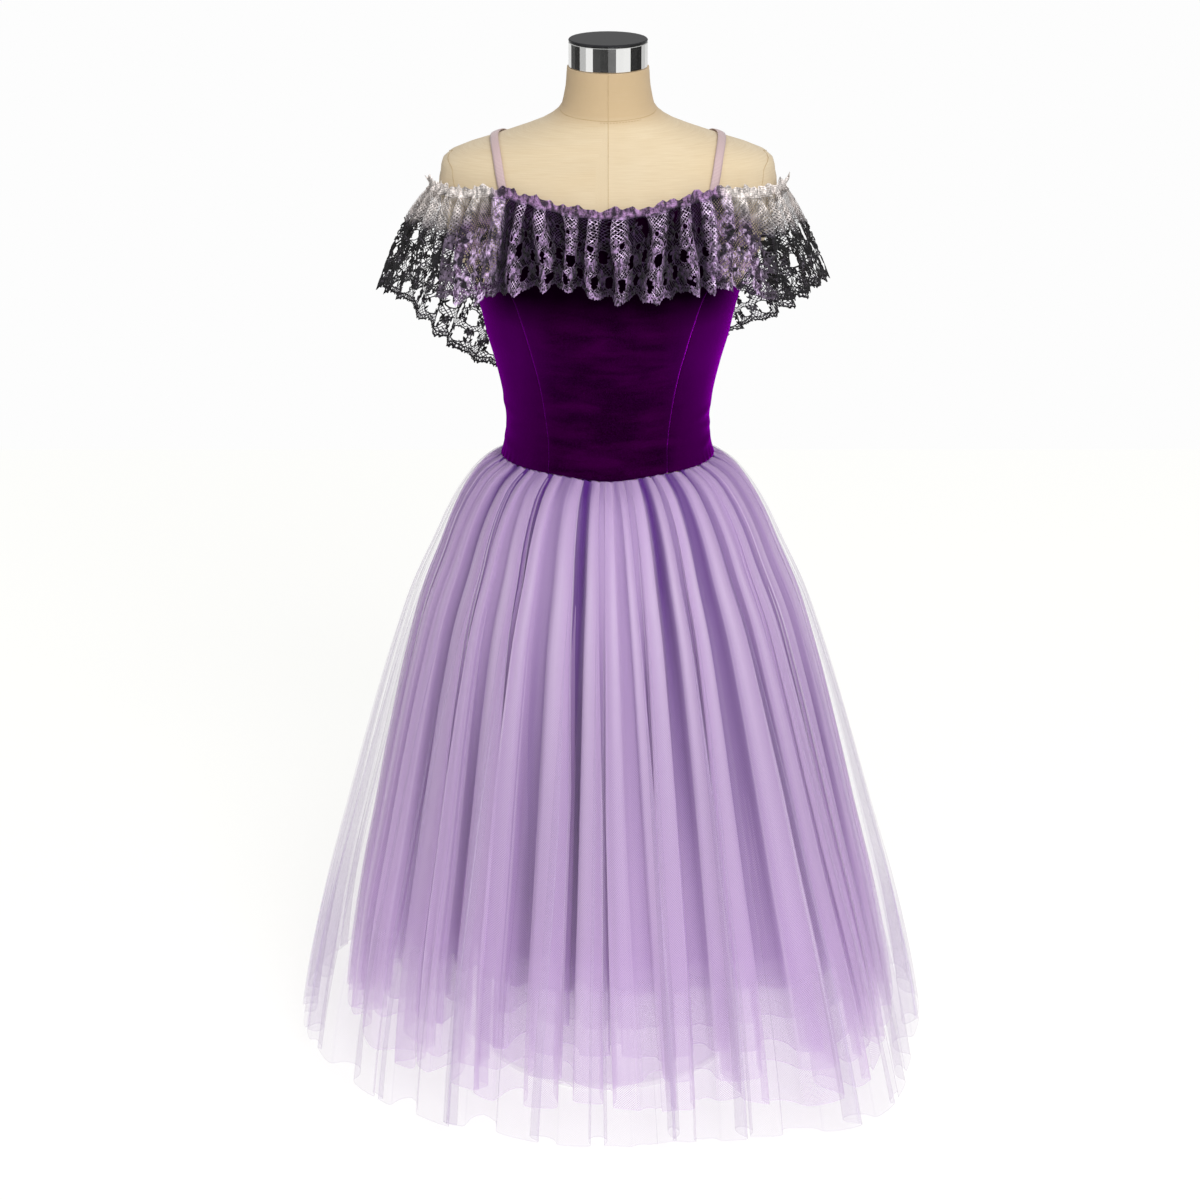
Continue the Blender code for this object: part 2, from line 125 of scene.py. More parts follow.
TORSO = table(
    "height half_width front back squareness",
    (0.4700, 0.1500, 0.0980, 0.1000, 2.00),
    (0.4820, 0.1600, 0.1080, 0.1100, 2.00),
    (0.5400, 0.1660, 0.1160, 0.1220, 2.10),
    (0.6000, 0.1640, 0.1180, 0.1260, 2.10),
    (0.6600, 0.1535, 0.1120, 0.1130, 2.05),
    (0.7200, 0.1395, 0.1000, 0.0930, 2.00),
    (0.7680, 0.1200, 0.0900, 0.0810, 2.00),
    (0.8000, 0.1142, 0.0880, 0.0780, 2.00),
    (0.8400, 0.1175, 0.0950, 0.0820, 2.00),
    (0.8800, 0.1260, 0.1060, 0.0880, 2.00),
    (0.9150, 0.1355, 0.1150, 0.0940, 2.05),
    (0.9450, 0.1420, 0.1190, 0.0980, 2.10),
    (0.9750, 0.1510, 0.1170, 0.1010, 2.20),
    (1.0000, 0.1665, 0.1125, 0.1020, 2.30),
    (1.0350, 0.1820, 0.1025, 0.1010, 2.35),
    (1.0700, 0.1890, 0.0905, 0.0980, 2.35),
    (1.1000, 0.1890, 0.0800, 0.0910, 2.30),
    (1.1230, 0.1760, 0.0720, 0.0830, 2.25),
    (1.1400, 0.1240, 0.0655, 0.0740, 2.20),
    (1.1580, 0.0740, 0.0580, 0.0640, 2.10),
    (1.1700, 0.0565, 0.0520, 0.0575, 2.00),
    (1.1900, 0.0488, 0.0470, 0.0520, 2.00),
    (1.2180, 0.0458, 0.0460, 0.0480, 2.00),
)
BUST_ACROSS, BUST_HEIGHT, BUST_OUT, BUST_SPREAD = 0.074, 0.950, 0.016, 0.048
SLOPE_STEP = 0.5        # degrees either way, to find which way the surface faces


def body(angle, height, out=0.0):
    """Points on the dress form, or a distance straight out of it, for arrays of angles and heights."""
    angle, height = np.broadcast_arrays(np.asarray(angle, float), np.asarray(height, float))
    half_width, front, back, squareness = (
        curve_of(TORSO, height, column) for column in ("half_width", "front", "back", "squareness"))

    def on_ring(degrees):
        sine, cosine = np.sin(np.radians(degrees)), np.cos(np.radians(degrees))
        x = half_width * np.copysign(np.abs(sine) ** (2 / squareness), sine)
        y = -np.where(cosine > 0, front, back) * np.copysign(np.abs(cosine) ** (2 / squareness), cosine)
        away = ((np.abs(x) - BUST_ACROSS) ** 2 + (height - BUST_HEIGHT) ** 2) / BUST_SPREAD ** 2
        return x, y - BUST_OUT * np.exp(-away) * np.sqrt(np.clip(cosine, 0, None))

    x0, y0 = on_ring(angle - SLOPE_STEP)
    x1, y1 = on_ring(angle + SLOPE_STEP)
    length = np.hypot(x1 - x0, y1 - y0)
    x, y = on_ring(angle)
    return np.stack([x + out * (y1 - y0) / length, y - out * (x1 - x0) / length, height], axis=-1)


def put(name, data):
    """An object of a mesh, curve, lamp or camera, in the scene."""
    made = bpy.data.objects.new(name, data)
    bpy.context.scene.collection.objects.link(made)
    return made


def surface(name, points, material, around=False, close_ends=False, uv=None, **attributes):
    """A mesh over a grid of points, rows from the bottom up and columns counter-clockwise from above."""
    rows, columns = points.shape[:2]
    index = np.arange(rows * columns).reshape(rows, columns)
    if around:
        index = np.concatenate([index, index[:, :1]], axis=1)
    corners = index[:-1, :-1], index[:-1, 1:], index[1:, 1:], index[1:, :-1]
    faces = np.stack(corners, axis=-1).reshape(-1, 4).tolist()
    if close_ends:
        faces += [index[0, columns - 1::-1].tolist(), index[-1, :columns].tolist()]
    mesh = bpy.data.meshes.new(name)
    mesh.from_pydata(points.reshape(-1, 3).tolist(), [], faces)
    if uv is not None:
        at = np.empty(len(mesh.loops), np.int32)
        mesh.loops.foreach_get("vertex_index", at)
        laid = uv.reshape(-1, 2)[at].astype(np.float32)
        mesh.uv_layers.new(name="cut").data.foreach_set("uv", laid.ravel())
    for attribute, values in attributes.items():
        kind, field = ("FLOAT_VECTOR", "vector") if values.ndim == 3 else ("FLOAT", "value")
        made = mesh.attributes.new(attribute, kind, "POINT")
        made.data.foreach_set(field, values.astype(np.float32).ravel())
    mesh.materials.append(material)
    mesh.shade_smooth()
    return put(name, mesh)


def fasten(piece, slot, *nodes):
    """The piece belongs to the one body and stands for its solids. The slot is not used."""
    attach(piece, "root")
    if nodes:
        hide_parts(*nodes)
    return piece


# Natural linen, plain woven with uneven yarns: matt, with slubs 20 to 40 mm long. Its threads are 0.5 mm
# apart and are drawn twice as coarse, so that the weave shows. Above the collar seam the neck is darker
# beige.
linen, tree, shader = new_material("natural_linen", Roughness=0.9, Sheen_Weight=0.15, Sheen_Roughness=0.6)
THREAD = 0.0010
BAND = 0.314            # a wave texture's scale for bands 1 m apart
SLUBS = (35.0, 900.0, 1.0)      # a metre, along and across the weft
AGED_PATCHES = 14.0
DARKER_NECK_FROM, DARKER_NECK_TO = 1.158, 1.172
cut = add_node(tree, "ShaderNodeUVMap", uv_map="cut").outputs["UV"]
warp, weft = (add_node(tree, "ShaderNodeTexWave", {"Vector": cut, "Scale": BAND / THREAD, "Distortion": 1.2,
                                                   "Detail": 1.0, "Detail Scale": 0.3}, bands_direction=way)
              for way in "XY")
weave = add_node(tree, "ShaderNodeMath", {0: warp.outputs["Fac"], 1: weft.outputs["Fac"]},
                 operation="MULTIPLY")
along_slub = add_node(tree, "ShaderNodeMapping", {"Vector": cut, "Scale": SLUBS})
slub = add_node(tree, "ShaderNodeTexNoise", {"Vector": along_slub.outputs["Vector"], "Scale": 1.0,
                                             "Detail": 3.0})
aged = add_node(tree, "ShaderNodeTexNoise", {"Vector": cut, "Scale": AGED_PATCHES, "Detail": 3.0})
streak = add_node(tree, "ShaderNodeMapRange", {"Value": slub.outputs["Fac"], 1: 0.35, 2: 0.7, 3: 0.0,
                                               4: 0.28})
shade = add_node(tree, "ShaderNodeMapRange", {"Value": weave.outputs[0], 3: 0.10, 4: 0.0})
place = add_node(tree, "ShaderNodeTexCoord").outputs["Object"]
along = add_node(tree, "ShaderNodeSeparateXYZ", {"Vector": place})
darker_neck = add_node(tree, "ShaderNodeMapRange", {"Value": along.outputs["Z"], 1: DARKER_NECK_FROM, 2: DARKER_NECK_TO})
woven = linear("#dec8a3")
for share, colour in ((aged.outputs["Fac"], "#e6d6b9"), (darker_neck.outputs[0], "#ccb28c"),
                      (streak.outputs[0], "#c9ae82"), (shade.outputs[0], "#8a7450")):
    woven = add_node(tree, "ShaderNodeMix", {0: share, 6: woven, 7: linear(colour)},
                     data_type="RGBA").outputs[2]
bump = add_node(tree, "ShaderNodeBump", {"Height": weave.outputs[0], "Strength": 0.35, "Distance": 0.0004})
feed(tree, shader, Base_Color=woven, Normal=bump.outputs["Normal"])

TORSO_ROWS, TORSO_COLUMNS = 110, 120
SHARP_EDGE = 60.0       # degrees: only the torso's cut ends are
heights = np.linspace(TORSO[0]["height"], TORSO[-1]["height"], TORSO_ROWS)
angles = np.arange(TORSO_COLUMNS) * 360.0 / TORSO_COLUMNS
points = body(angles[None, :], heights[:, None])
step = np.linalg.norm(np.diff(points, axis=1, append=points[:, :1]), axis=2)
across = np.cumsum(step, axis=1) - step
uv = np.stack([across, np.repeat(heights[:, None], TORSO_COLUMNS, axis=1)], axis=-1)
torso = surface("linen_torso", points, linen, around=True, close_ends=True, uv=uv)
torso.data.set_sharp_from_angle(angle=math.radians(SHARP_EDGE))
fasten(torso, "linen", "form_torso")


def cord_line(name, points, thickness, material, around=False):
    """A round thread, cord or piping along points, as a mesh."""
    line = bpy.data.curves.new(name, "CURVE")
    line.dimensions = "3D"
    line.bevel_depth = thickness / 2
    line.bevel_resolution = 1
    line.use_fill_caps = not around
    path = line.splines.new("POLY")
    path.points.add(len(points) - 1)
    path.points.foreach_set("co", np.c_[points, np.ones(len(points))].ravel())
    path.use_cyclic_u = around
    drawn = put(name + "_line", line)
    mesh = bpy.data.meshes.new_from_object(drawn.evaluated_get(bpy.context.evaluated_depsgraph_get()))
    bpy.data.objects.remove(drawn)
    mesh.name = name
    mesh.materials.clear()
    mesh.materials.append(material)
    mesh.shade_smooth()
    return put(name, mesh)


# The seam line is the shadowed gap and thread between two turned linen edges.
THREAD_TWIST = 0.002
seam_thread, tree, shader = new_material("linen_thread", Roughness=0.9)
place = add_node(tree, "ShaderNodeTexCoord").outputs["Object"]
twist = add_node(tree, "ShaderNodeTexNoise", {"Vector": place, "Scale": 1 / THREAD_TWIST})
tone = add_node(tree, "ShaderNodeMix", {0: twist.outputs["Fac"], 6: linear("#a88e66"), 7: linear("#cdb58c")},
                data_type="RGBA")
feed(tree, shader, Base_Color=tone.outputs[2])

SEAM_WIDE, NARROW_SEAM = 0.0009, 0.7     # the narrow ones at a share of it
COLLAR_SEAM = table("angle height", (0.0, 1.1670), (60.0, 1.1700), (100.0, 1.1745), (180.0, 1.1780))
ARMHOLE_SEAM = table("height angle", (1.0300, 53.4), (1.0500, 55.0), (1.0750, 58.0), (1.1000, 64.6),
                     (1.1150, 71.5), (1.1235, 90.0))


def both_ways(angles):
    """Degrees from the centre front, whichever way round."""
    return np.abs((np.asarray(angles) + 180.0) % 360.0 - 180.0)


turn = np.linspace(0.0, 360.0, 145)[:-1]
collar_seam = body(turn, curve_of(COLLAR_SEAM, both_ways(turn), "height"))
fasten(cord_line("form_collar_seam", collar_seam, SEAM_WIDE, seam_thread, around=True), "linen")
for name, angle in (("form_front_seam", 0.0), ("form_back_seam", 180.0)):
    climb = np.linspace(TORSO[0]["height"], TORSO[-1]["height"], 90)
    fasten(cord_line(name, body(angle, climb), SEAM_WIDE * NARROW_SEAM, seam_thread), "linen")
for name, side in (("form_armhole_seam_left", 1), ("form_armhole_seam_right", -1)):
    climb = np.linspace(ARMHOLE_SEAM[0]["height"], ARMHOLE_SEAM[-1]["height"], 40)
    front_line = body(side * curve_of(ARMHOLE_SEAM, climb, "angle"), climb)
    back_line = body(side * (180.0 - curve_of(ARMHOLE_SEAM, climb, "angle")), climb)[::-1]
    whole = np.concatenate([front_line, back_line])
    fasten(cord_line(name, whole, SEAM_WIDE * NARROW_SEAM, seam_thread), "linen")


def stitching_tree():
    """A tree that sets stitches of one length, evenly spaced, along the edges of a mesh."""
    tree = bpy.data.node_groups.new("running_stitch", "GeometryNodeTree")
    for name, kind in (("Geometry", "NodeSocketGeometry"), ("Spacing", "NodeSocketFloat"),
                       ("Length", "NodeSocketFloat"), ("Thickness", "NodeSocketFloat"),
                       ("Thread", "NodeSocketMaterial")):
        tree.interface.new_socket(name, in_out="INPUT", socket_type=kind)
    tree.interface.new_socket("Geometry", in_out="OUTPUT", socket_type="NodeSocketGeometry")
    given = add_node(tree, "NodeGroupInput").outputs
    line = add_node(tree, "GeometryNodeMeshToCurve", {"Mesh": given["Geometry"]})
    stops = add_node(tree, "GeometryNodeCurveToPoints",
                     {"Curve": line.outputs[0], "Length": given["Spacing"]}, mode="LENGTH")
    thread = add_node(tree, "GeometryNodeMeshCylinder",
                      {"Vertices": 6, "Side Segments": 1, "Radius": 0.5, "Depth": 1.0})
    lie_along = add_node(tree, "FunctionNodeAlignRotationToVector", {"Vector": stops.outputs["Tangent"]},
                         axis="Z")
    size = add_node(tree, "ShaderNodeCombineXYZ", {"X": given["Thickness"], "Y": given["Thickness"],
                                                   "Z": given["Length"]})
    stitches = add_node(tree, "GeometryNodeInstanceOnPoints",
                        {"Points": stops.outputs["Points"], "Instance": thread.outputs["Mesh"],
                         "Rotation": lie_along.outputs["Rotation"], "Scale": size.outputs["Vector"]})
    real = add_node(tree, "GeometryNodeRealizeInstances", {"Geometry": stitches.outputs["Instances"]})
    finished = add_node(tree, "GeometryNodeSetMaterial",
                        {"Geometry": real.outputs[0], "Material": given["Thread"]})
    add_node(tree, "NodeGroupOutput", {"Geometry": finished.outputs[0]})
    return tree


running_stitch = stitching_tree()


def sew(name, points, spacing, length, thickness, material, slot):
    """A row of stitches along points, made into a plain mesh."""
    line = bpy.data.meshes.new(name + "_line")
    line.from_pydata(np.asarray(points).tolist(), [(k, k + 1) for k in range(len(points) - 1)], [])
    row = put(name + "_row", line)
    modifier = row.modifiers.new("stitches", "NODES")
    modifier.node_group = running_stitch
    sockets = {item.name: item.identifier for item in running_stitch.interface.items_tree
               if item.in_out == "INPUT"}
    for socket, value in (("Spacing", spacing), ("Length", length), ("Thickness", thickness),
                          ("Thread", material)):
        modifier[sockets[socket]] = value
    mesh = bpy.data.meshes.new_from_object(row.evaluated_get(bpy.context.evaluated_depsgraph_get()))
    row.modifiers.remove(modifier)
    bpy.data.objects.remove(row)
    mesh.name = name
    return fasten(put(name, mesh), slot)


# The collar seam is caught down with short hand stitches across the centre front.
STITCHED_FROM, STITCHED_TO, BELOW_SEAM, STITCH_PROUD = -7.0, 36.0, 0.0016, 0.0003
turn = np.linspace(STITCHED_FROM, STITCHED_TO, 24)
collar_edge = body(turn, curve_of(COLLAR_SEAM, both_ways(turn), "height") - BELOW_SEAM, STITCH_PROUD)
sew("form_collar_stitches", collar_edge, spacing=0.0034, length=0.0020, thickness=0.0006,
    material=seam_thread, slot="linen")

# ---------------------------------------------------------------------------------------------------------
# The neck cap: a turned steel band, chromed, under a flat gunmetal disc. They sit on the neck's cut end
# and keep their solids' shapes.
# ---------------------------------------------------------------------------------------------------------

# Chrome plate, brushed round the band before plating: a mirror with a slight vertical smear.
BRUSHED = (60.0, 60.0, 3200.0)  # scratches a metre, round the band and up it
chrome, tree, shader = new_material("brushed_chrome", Metallic=1.0, Base_Color=linear("#f0f0ee"))
place = add_node(tree, "ShaderNodeTexCoord").outputs["Object"]
fine = add_node(tree, "ShaderNodeMapping", {"Vector": place, "Scale": BRUSHED})
brushed = add_node(tree, "ShaderNodeTexNoise", {"Vector": fine.outputs["Vector"], "Scale": 1.0,
                                                "Detail": 2.0})
gloss = add_node(tree, "ShaderNodeMapRange", {"Value": brushed.outputs["Fac"], 3: 0.10, 4: 0.22})
feed(tree, shader, Roughness=gloss.outputs[0])
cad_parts["form_neck_cap_band"].data.materials[0] = chrome

# Gunmetal: steel with a dark satin plating, turned flat, so it keeps fine rings.
TURNED_RING = 0.0012
gunmetal, tree, shader = new_material("gunmetal_plate", Metallic=0.9, Roughness=0.38)
place = add_node(tree, "ShaderNodeTexCoord").outputs["Object"]
rings = add_node(tree, "ShaderNodeTexWave", {"Vector": place, "Scale": BAND / TURNED_RING, "Distortion": 0.4},
                 wave_type="RINGS", rings_direction="Z")
tone = add_node(tree, "ShaderNodeMix", {0: rings.outputs["Fac"], 6: linear("#333336"), 7: linear("#3d3d40")},
                data_type="RGBA")
feed(tree, shader, Base_Color=tone.outputs[2])
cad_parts["form_neck_cap_top"].data.materials[0] = gunmetal

# ---------------------------------------------------------------------------------------------------------
# The bodice: silk velvet, five panels cut to the figure and sewn edge to edge. The nap lies downwards, so
# the panels look nearly black straight on and glow purple where they turn away.
# ---------------------------------------------------------------------------------------------------------

# Velvet: a dense cut pile on a satin ground. The pile throws light back at its tips, which is the sheen,
# and lies in crushed patches, 10 to 60 mm across: level ones on the front panel, where it creases, and
# upright ones at the sides, where a lighter purple is a painted sheen for the panels turning away. Under
# the flounce's edge a painted shadow darkens the velvet and dims its sheen. Its fibres are far finer than
# shows, so a 1.2 mm grain stands for them.
LEVEL_PATCHES, UPRIGHT_PATCHES = (16.0, 16.0, 62.0), (52.0, 52.0, 9.0)      # a metre
PILE_GRAIN = 0.0012
# The painted sheen at the sides takes over there too.
SIDES_FROM, SIDES_TO = 0.060, 0.100         # from the middle, where the upright patches take over
FLOUNCE_SHADOW_FROM, FLOUNCE_SHADOW_TO = 0.945, 0.985     # up the front, under the flounce's edge
FRONT_FROM, FRONT_TO = -0.060, -0.095
velvet, tree, shader = new_material("silk_velvet", Roughness=0.8, Sheen_Weight=1.0, Sheen_Roughness=0.34,
                                    Sheen_Tint=linear("#b800dc"), Specular_IOR_Level=0.0)
place = add_node(tree, "ShaderNodeTexCoord").outputs["Object"]
apart = add_node(tree, "ShaderNodeSeparateXYZ", {"Vector": place})
drawn_out = [add_node(tree, "ShaderNodeMapping", {"Vector": place, "Scale": patches}).outputs["Vector"]
             for patches in (LEVEL_PATCHES, UPRIGHT_PATCHES)]
level, upright = (
    add_node(tree, "ShaderNodeTexNoise", {"Vector": vector, "Scale": 1.0, "Detail": detail,
                                          "Roughness": 0.5, "Distortion": bent})
    for vector, detail, bent in zip(drawn_out, (3.0, 2.0), (0.4, 0.3)))
pile = add_node(tree, "ShaderNodeTexNoise", {"Vector": place, "Scale": 1 / PILE_GRAIN, "Detail": 1.0})
aside = add_node(tree, "ShaderNodeMath", {0: apart.outputs["X"]}, operation="ABSOLUTE")
sides_sheen_and_patches, near_edge, before = (
    add_node(tree, "ShaderNodeMapRange", {"Value": value, 1: start, 2: end}).outputs[0]
    for value, start, end in ((aside.outputs[0], SIDES_FROM, SIDES_TO),
                              (apart.outputs["Z"], FLOUNCE_SHADOW_FROM, FLOUNCE_SHADOW_TO),
                              (apart.outputs["Y"], FRONT_FROM, FRONT_TO)))
flounce_shadow = add_node(tree, "ShaderNodeMath", {0: near_edge, 1: before}, operation="MULTIPLY")
crushed = add_node(tree, "ShaderNodeMix", {0: sides_sheen_and_patches, 2: level.outputs["Fac"],
                                           3: upright.outputs["Fac"]}).outputs[0]
patch = add_node(tree, "ShaderNodeMapRange", {"Value": crushed, 1: 0.38, 2: 0.66})
speckle = add_node(tree, "ShaderNodeMapRange", {"Value": pile.outputs["Fac"], 1: 0.35, 2: 0.75, 4: 0.35})
# The nap's colour: its own patches and speckle, a painted sheen at the sides and a painted shadow under the
# flounce.
nap = linear("#150013")
for share, colour in ((patch.outputs[0], "#2f002f"), (sides_sheen_and_patches, "#3a0040"), (speckle.outputs[0], "#400049"),
                      (flounce_shadow.outputs[0], "#0e000e")):
    nap = add_node(tree, "ShaderNodeMix", {0: share, 6: nap, 7: linear(colour)}, data_type="RGBA").outputs[2]
# The painted shadow under the flounce dims the sheen as well.
sheen_out_of_shadow = add_node(tree, "ShaderNodeMapRange", {"Value": flounce_shadow.outputs[0], 3: 1.0, 4: 0.25})
nap_height = add_node(tree, "ShaderNodeMath", {0: crushed, 1: pile.outputs["Fac"]}, operation="ADD")
bump = add_node(tree, "ShaderNodeBump", {"Height": nap_height.outputs[0], "Strength": 0.3,
                                         "Distance": 0.0012})
feed(tree, shader, Base_Color=nap, Sheen_Weight=sheen_out_of_shadow.outputs[0], Normal=bump.outputs["Normal"])

# The panels' turned-in edges show the velvet's ground, a dark matt satin, so the seams are fine dark lines.
velvet_ground, tree, shader = new_material("velvet_satin_ground", Roughness=0.7, Base_Color=linear("#1a001c"),
                                           Specular_IOR_Level=0.2)

VELVET, SEAM_GAP = 0.0016, 0.0003
PILE_LESS = 0.0002      # the wall is this much thinner than the pile stands
BODICE_CLEAR = 0.0025
WAIST_HEIGHT, WAIST_POINT, WAIST_POINT_HALF_ANGLE = 0.7670, 0.0050, 20.0
NECKLINE = table(
    "angle height",
    (0.0, 1.0690),
    (8.0, 1.0710),
    (19.0, 1.0795),
    (25.0, 1.0835),
    (30.0, 1.0850),
    (33.0, 1.0790),
    (38.0, 1.0400),
    (44.0, 1.0110),
    (60.0, 0.9860),
    (92.0, 0.9690),
    (130.0, 0.9560),
    (180.0, 0.9450),
)
PRINCESS_SEAM = table(
    "height angle",
    (0.7600, 33.5),
    (0.8200, 36.3),
    (0.8700, 37.3),
    (0.9200, 38.0),
    (0.9700, 40.5),
    (1.0300, 42.0),
    (1.0900, 43.0),
)
SIDE_SEAM_ANGLE = 92.0
WAIST_RADIUS = 0.12
WHOLE_TOP = 1.1         # a height above every seam's table
SEAM_ROLL, SEAM_ROLL_WIDE = 0.00012, 0.0016
EDGE_ROLL, EDGE_ROLL_WIDE = 0.0007, 0.0030
PUCKER, PUCKER_TALL, PUCKERS_A_RADIAN = 0.0006, 0.006, 62.0

# Soft wrinkles that stand out of the velvet where the bodice gives at the waist and under the bust.
CREASES = table(
    "height angle half_height half_angle out tilt",
    (0.7800, 3.0, 0.0050, 30.0, 0.0010, 0.00010),
    (0.7930, -12.0, 0.0045, 22.0, 0.0013, -0.00012),
    (0.8040, 14.0, 0.0055, 26.0, 0.0014, 0.00016),
    (0.8170, -4.0, 0.0050, 30.0, 0.0012, 0.00005),
    (0.8330, 10.0, 0.0060, 20.0, 0.0012, -0.00018),
    (0.8480, -14.0, 0.0060, 24.0, 0.0012, 0.00015),
    (0.8650, 2.0, 0.0070, 26.0, 0.0009, -0.00008),
    (0.8900, -6.0, 0.0080, 20.0, 0.0008, 0.00012),
    (0.7880, 74.0, 0.0050, 16.0, 0.0014, 0.00030),
    (0.8060, 80.0, 0.0055, 18.0, 0.0015, -0.00022),
    (0.8250, 70.0, 0.0060, 14.0, 0.0012, 0.00026),
    (0.7860, -76.0, 0.0050, 17.0, 0.0014, -0.00028),
    (0.8080, -70.0, 0.0055, 15.0, 0.0014, 0.00030),
    (0.8300, -80.0, 0.0060, 15.0, 0.0011, -0.00020),
    (0.7900, 150.0, 0.0055, 22.0, 0.0014, 0.00012),
    (0.8070, 172.0, 0.0060, 26.0, 0.0013, -0.00010),
    (0.8200, -158.0, 0.0055, 20.0, 0.0014, 0.00014),
    (0.8400, -176.0, 0.0070, 24.0, 0.0010, 0.00012),
)


def waist(angle):
    """The height of the waist seam."""
    return WAIST_HEIGHT - WAIST_POINT * np.exp(-(both_ways(angle) / WAIST_POINT_HALF_ANGLE) ** 2)


def creased(angle, height):
    """How far the velvet stands out of its plain form."""
    out = np.zeros(np.broadcast(angle, height).shape)
    for crease in CREASES:
        away = (angle - crease["angle"] + 180.0) % 360.0 - 180.0
        level = height - crease["height"] - crease["tilt"] * away
        fall = (away / crease["half_angle"]) ** 2 + (level / crease["half_height"]) ** 2
        out += crease["out"] * np.exp(-fall)
    return out


def bodice_panel(name, seam_right, seam_left, columns, rows=88):
    """One velvet panel between two seams, with its edges turned in and small puckers above the waist seam."""
    share = np.linspace(0.0, 1.0, columns + 1)
    half_gap = math.degrees(SEAM_GAP / 2 / WAIST_RADIUS)

    def across(height):
        right, left = seam_right(height) + half_gap, seam_left(height) - half_gap
        return right + share * (left - right)

    top = curve_of(NECKLINE, both_ways(across(np.full(columns + 1, WHOLE_TOP))), "height")
    bottom = waist(across(np.full(columns + 1, WAIST_HEIGHT)))
    climb = np.linspace(0.0, 1.0, rows + 1)[:, None]
    height = bottom + climb * (top - bottom)
    angle = np.stack([across(row) for row in height])
    wide = np.radians(across(bottom)[-1] - across(bottom)[0]) * WAIST_RADIUS
    to_seam = np.minimum(share, 1 - share)[None, :] * wide
    to_edge = (1 - climb) * (top - bottom)
    rolled = (SEAM_ROLL * np.exp(-(to_seam / SEAM_ROLL_WIDE) ** 2)
              + EDGE_ROLL * np.exp(-(to_edge / EDGE_ROLL_WIDE) ** 2))
    puckers = PUCKER * np.exp(-(height - bottom) / PUCKER_TALL) * np.sin(np.radians(angle) * PUCKERS_A_RADIAN)
    points = body(angle, height, BODICE_CLEAR + VELVET - rolled + creased(angle, height) + puckers)
    panel = surface(name, points, velvet)
    wall = panel.modifiers.new("velvet", "SOLIDIFY")
    wall.thickness = VELVET - PILE_LESS
    wall.offset = -1.0
    panel.data.materials.append(velvet_ground)
    wall.material_offset_rim = 1
    fasten(panel, "velvet", name.replace("velvet", "bodice"))


def princess(height):
    """The angle of the seam between the centre and side front panels."""
    return curve_of(PRINCESS_SEAM, height, "angle")


def side_seam(height):
    """The angle of the side seams."""
    return np.full(np.shape(height), SIDE_SEAM_ANGLE)


def centre_back(height):
    """The angle of the centre-back seam."""
    return np.full(np.shape(height), 180.0)


bodice_panel("velvet_front_centre", lambda h: -princess(h), princess, 64)
bodice_panel("velvet_side_front_left", princess, side_seam, 48)
bodice_panel("velvet_side_front_right", lambda h: -side_seam(h), lambda h: -princess(h), 48)
bodice_panel("velvet_back_left", side_seam, centre_back, 60)
bodice_panel("velvet_back_right", lambda h: -centre_back(h), lambda h: -side_seam(h), 60)

# ---------------------------------------------------------------------------------------------------------
# The straps: narrow plush elastic in pale pinkish mauve, over the shoulders, sewn inside the bodice's top
# edge at the front and the back.
# ---------------------------------------------------------------------------------------------------------

# Plush elastic: brushed polyamide over rubber, softly napped, ribbed across every 1.5 mm.
RIB = 0.0015
elastic, tree, shader = new_material("plush_elastic", Roughness=0.7, Sheen_Weight=0.35, Sheen_Roughness=0.4)
cut = add_node(tree, "ShaderNodeUVMap", uv_map="cut").outputs["UV"]
ribs = add_node(tree, "ShaderNodeTexWave", {"Vector": cut, "Scale": BAND / RIB, "Distortion": 0.3})
tone = add_node(tree, "ShaderNodeMix", {0: ribs.outputs["Fac"], 6: linear("#b99ca1"), 7: linear("#d1bbb9")},
                data_type="RGBA")
bump = add_node(tree, "ShaderNodeBump", {"Height": ribs.outputs["Fac"], "Strength": 0.3, "Distance": 0.0003})
feed(tree, shader, Base_Color=tone.outputs[2], Normal=bump.outputs["Normal"])

STRAP_THICK, STRAP_WIDE, STRAP_CLEAR, STRAP_STEP = 0.0012, 0.009, 0.0018, 0.05
STRAP_CROWN = (0.0, 0.0004, 0.0005, 0.0004, 0.0)    # how far it swells, from edge to edge
PLUSH_LESS, BEYOND_FORM = 0.0003, 0.25
STRAP_X_FRONT, STRAP_X_TOP, STRAP_X_BACK = 0.107, 0.127, 0.088
STRAP_CENTRE_HEIGHT, STRAP_TURNS = 1.030, (41.0, 224.0)


def on_shoulder(x, turn):
    """The form's surface at x, at a turn from straight ahead over the shoulder to the back."""
    near, far = np.zeros_like(turn), np.full_like(turn, BEYOND_FORM)
    for _ in range(30):
        middle = (near + far) / 2
        y, z = -middle * np.cos(turn), STRAP_CENTRE_HEIGHT + middle * np.sin(turn)
        half_width, front, back, squareness = (
            curve_of(TORSO, z, column) for column in ("half_width", "front", "back", "squareness"))
        deep = np.where(y < 0, front, back)
        inside = (z < TORSO[-1]["height"]) & (np.abs(x / half_width) ** squareness
                                              + np.abs(y / deep) ** squareness < 1)
        near, far = np.where(inside, middle, near), np.where(inside, far, middle)
    return np.stack([x + 0 * near, -near * np.cos(turn), STRAP_CENTRE_HEIGHT + near * np.sin(turn)], axis=-1)


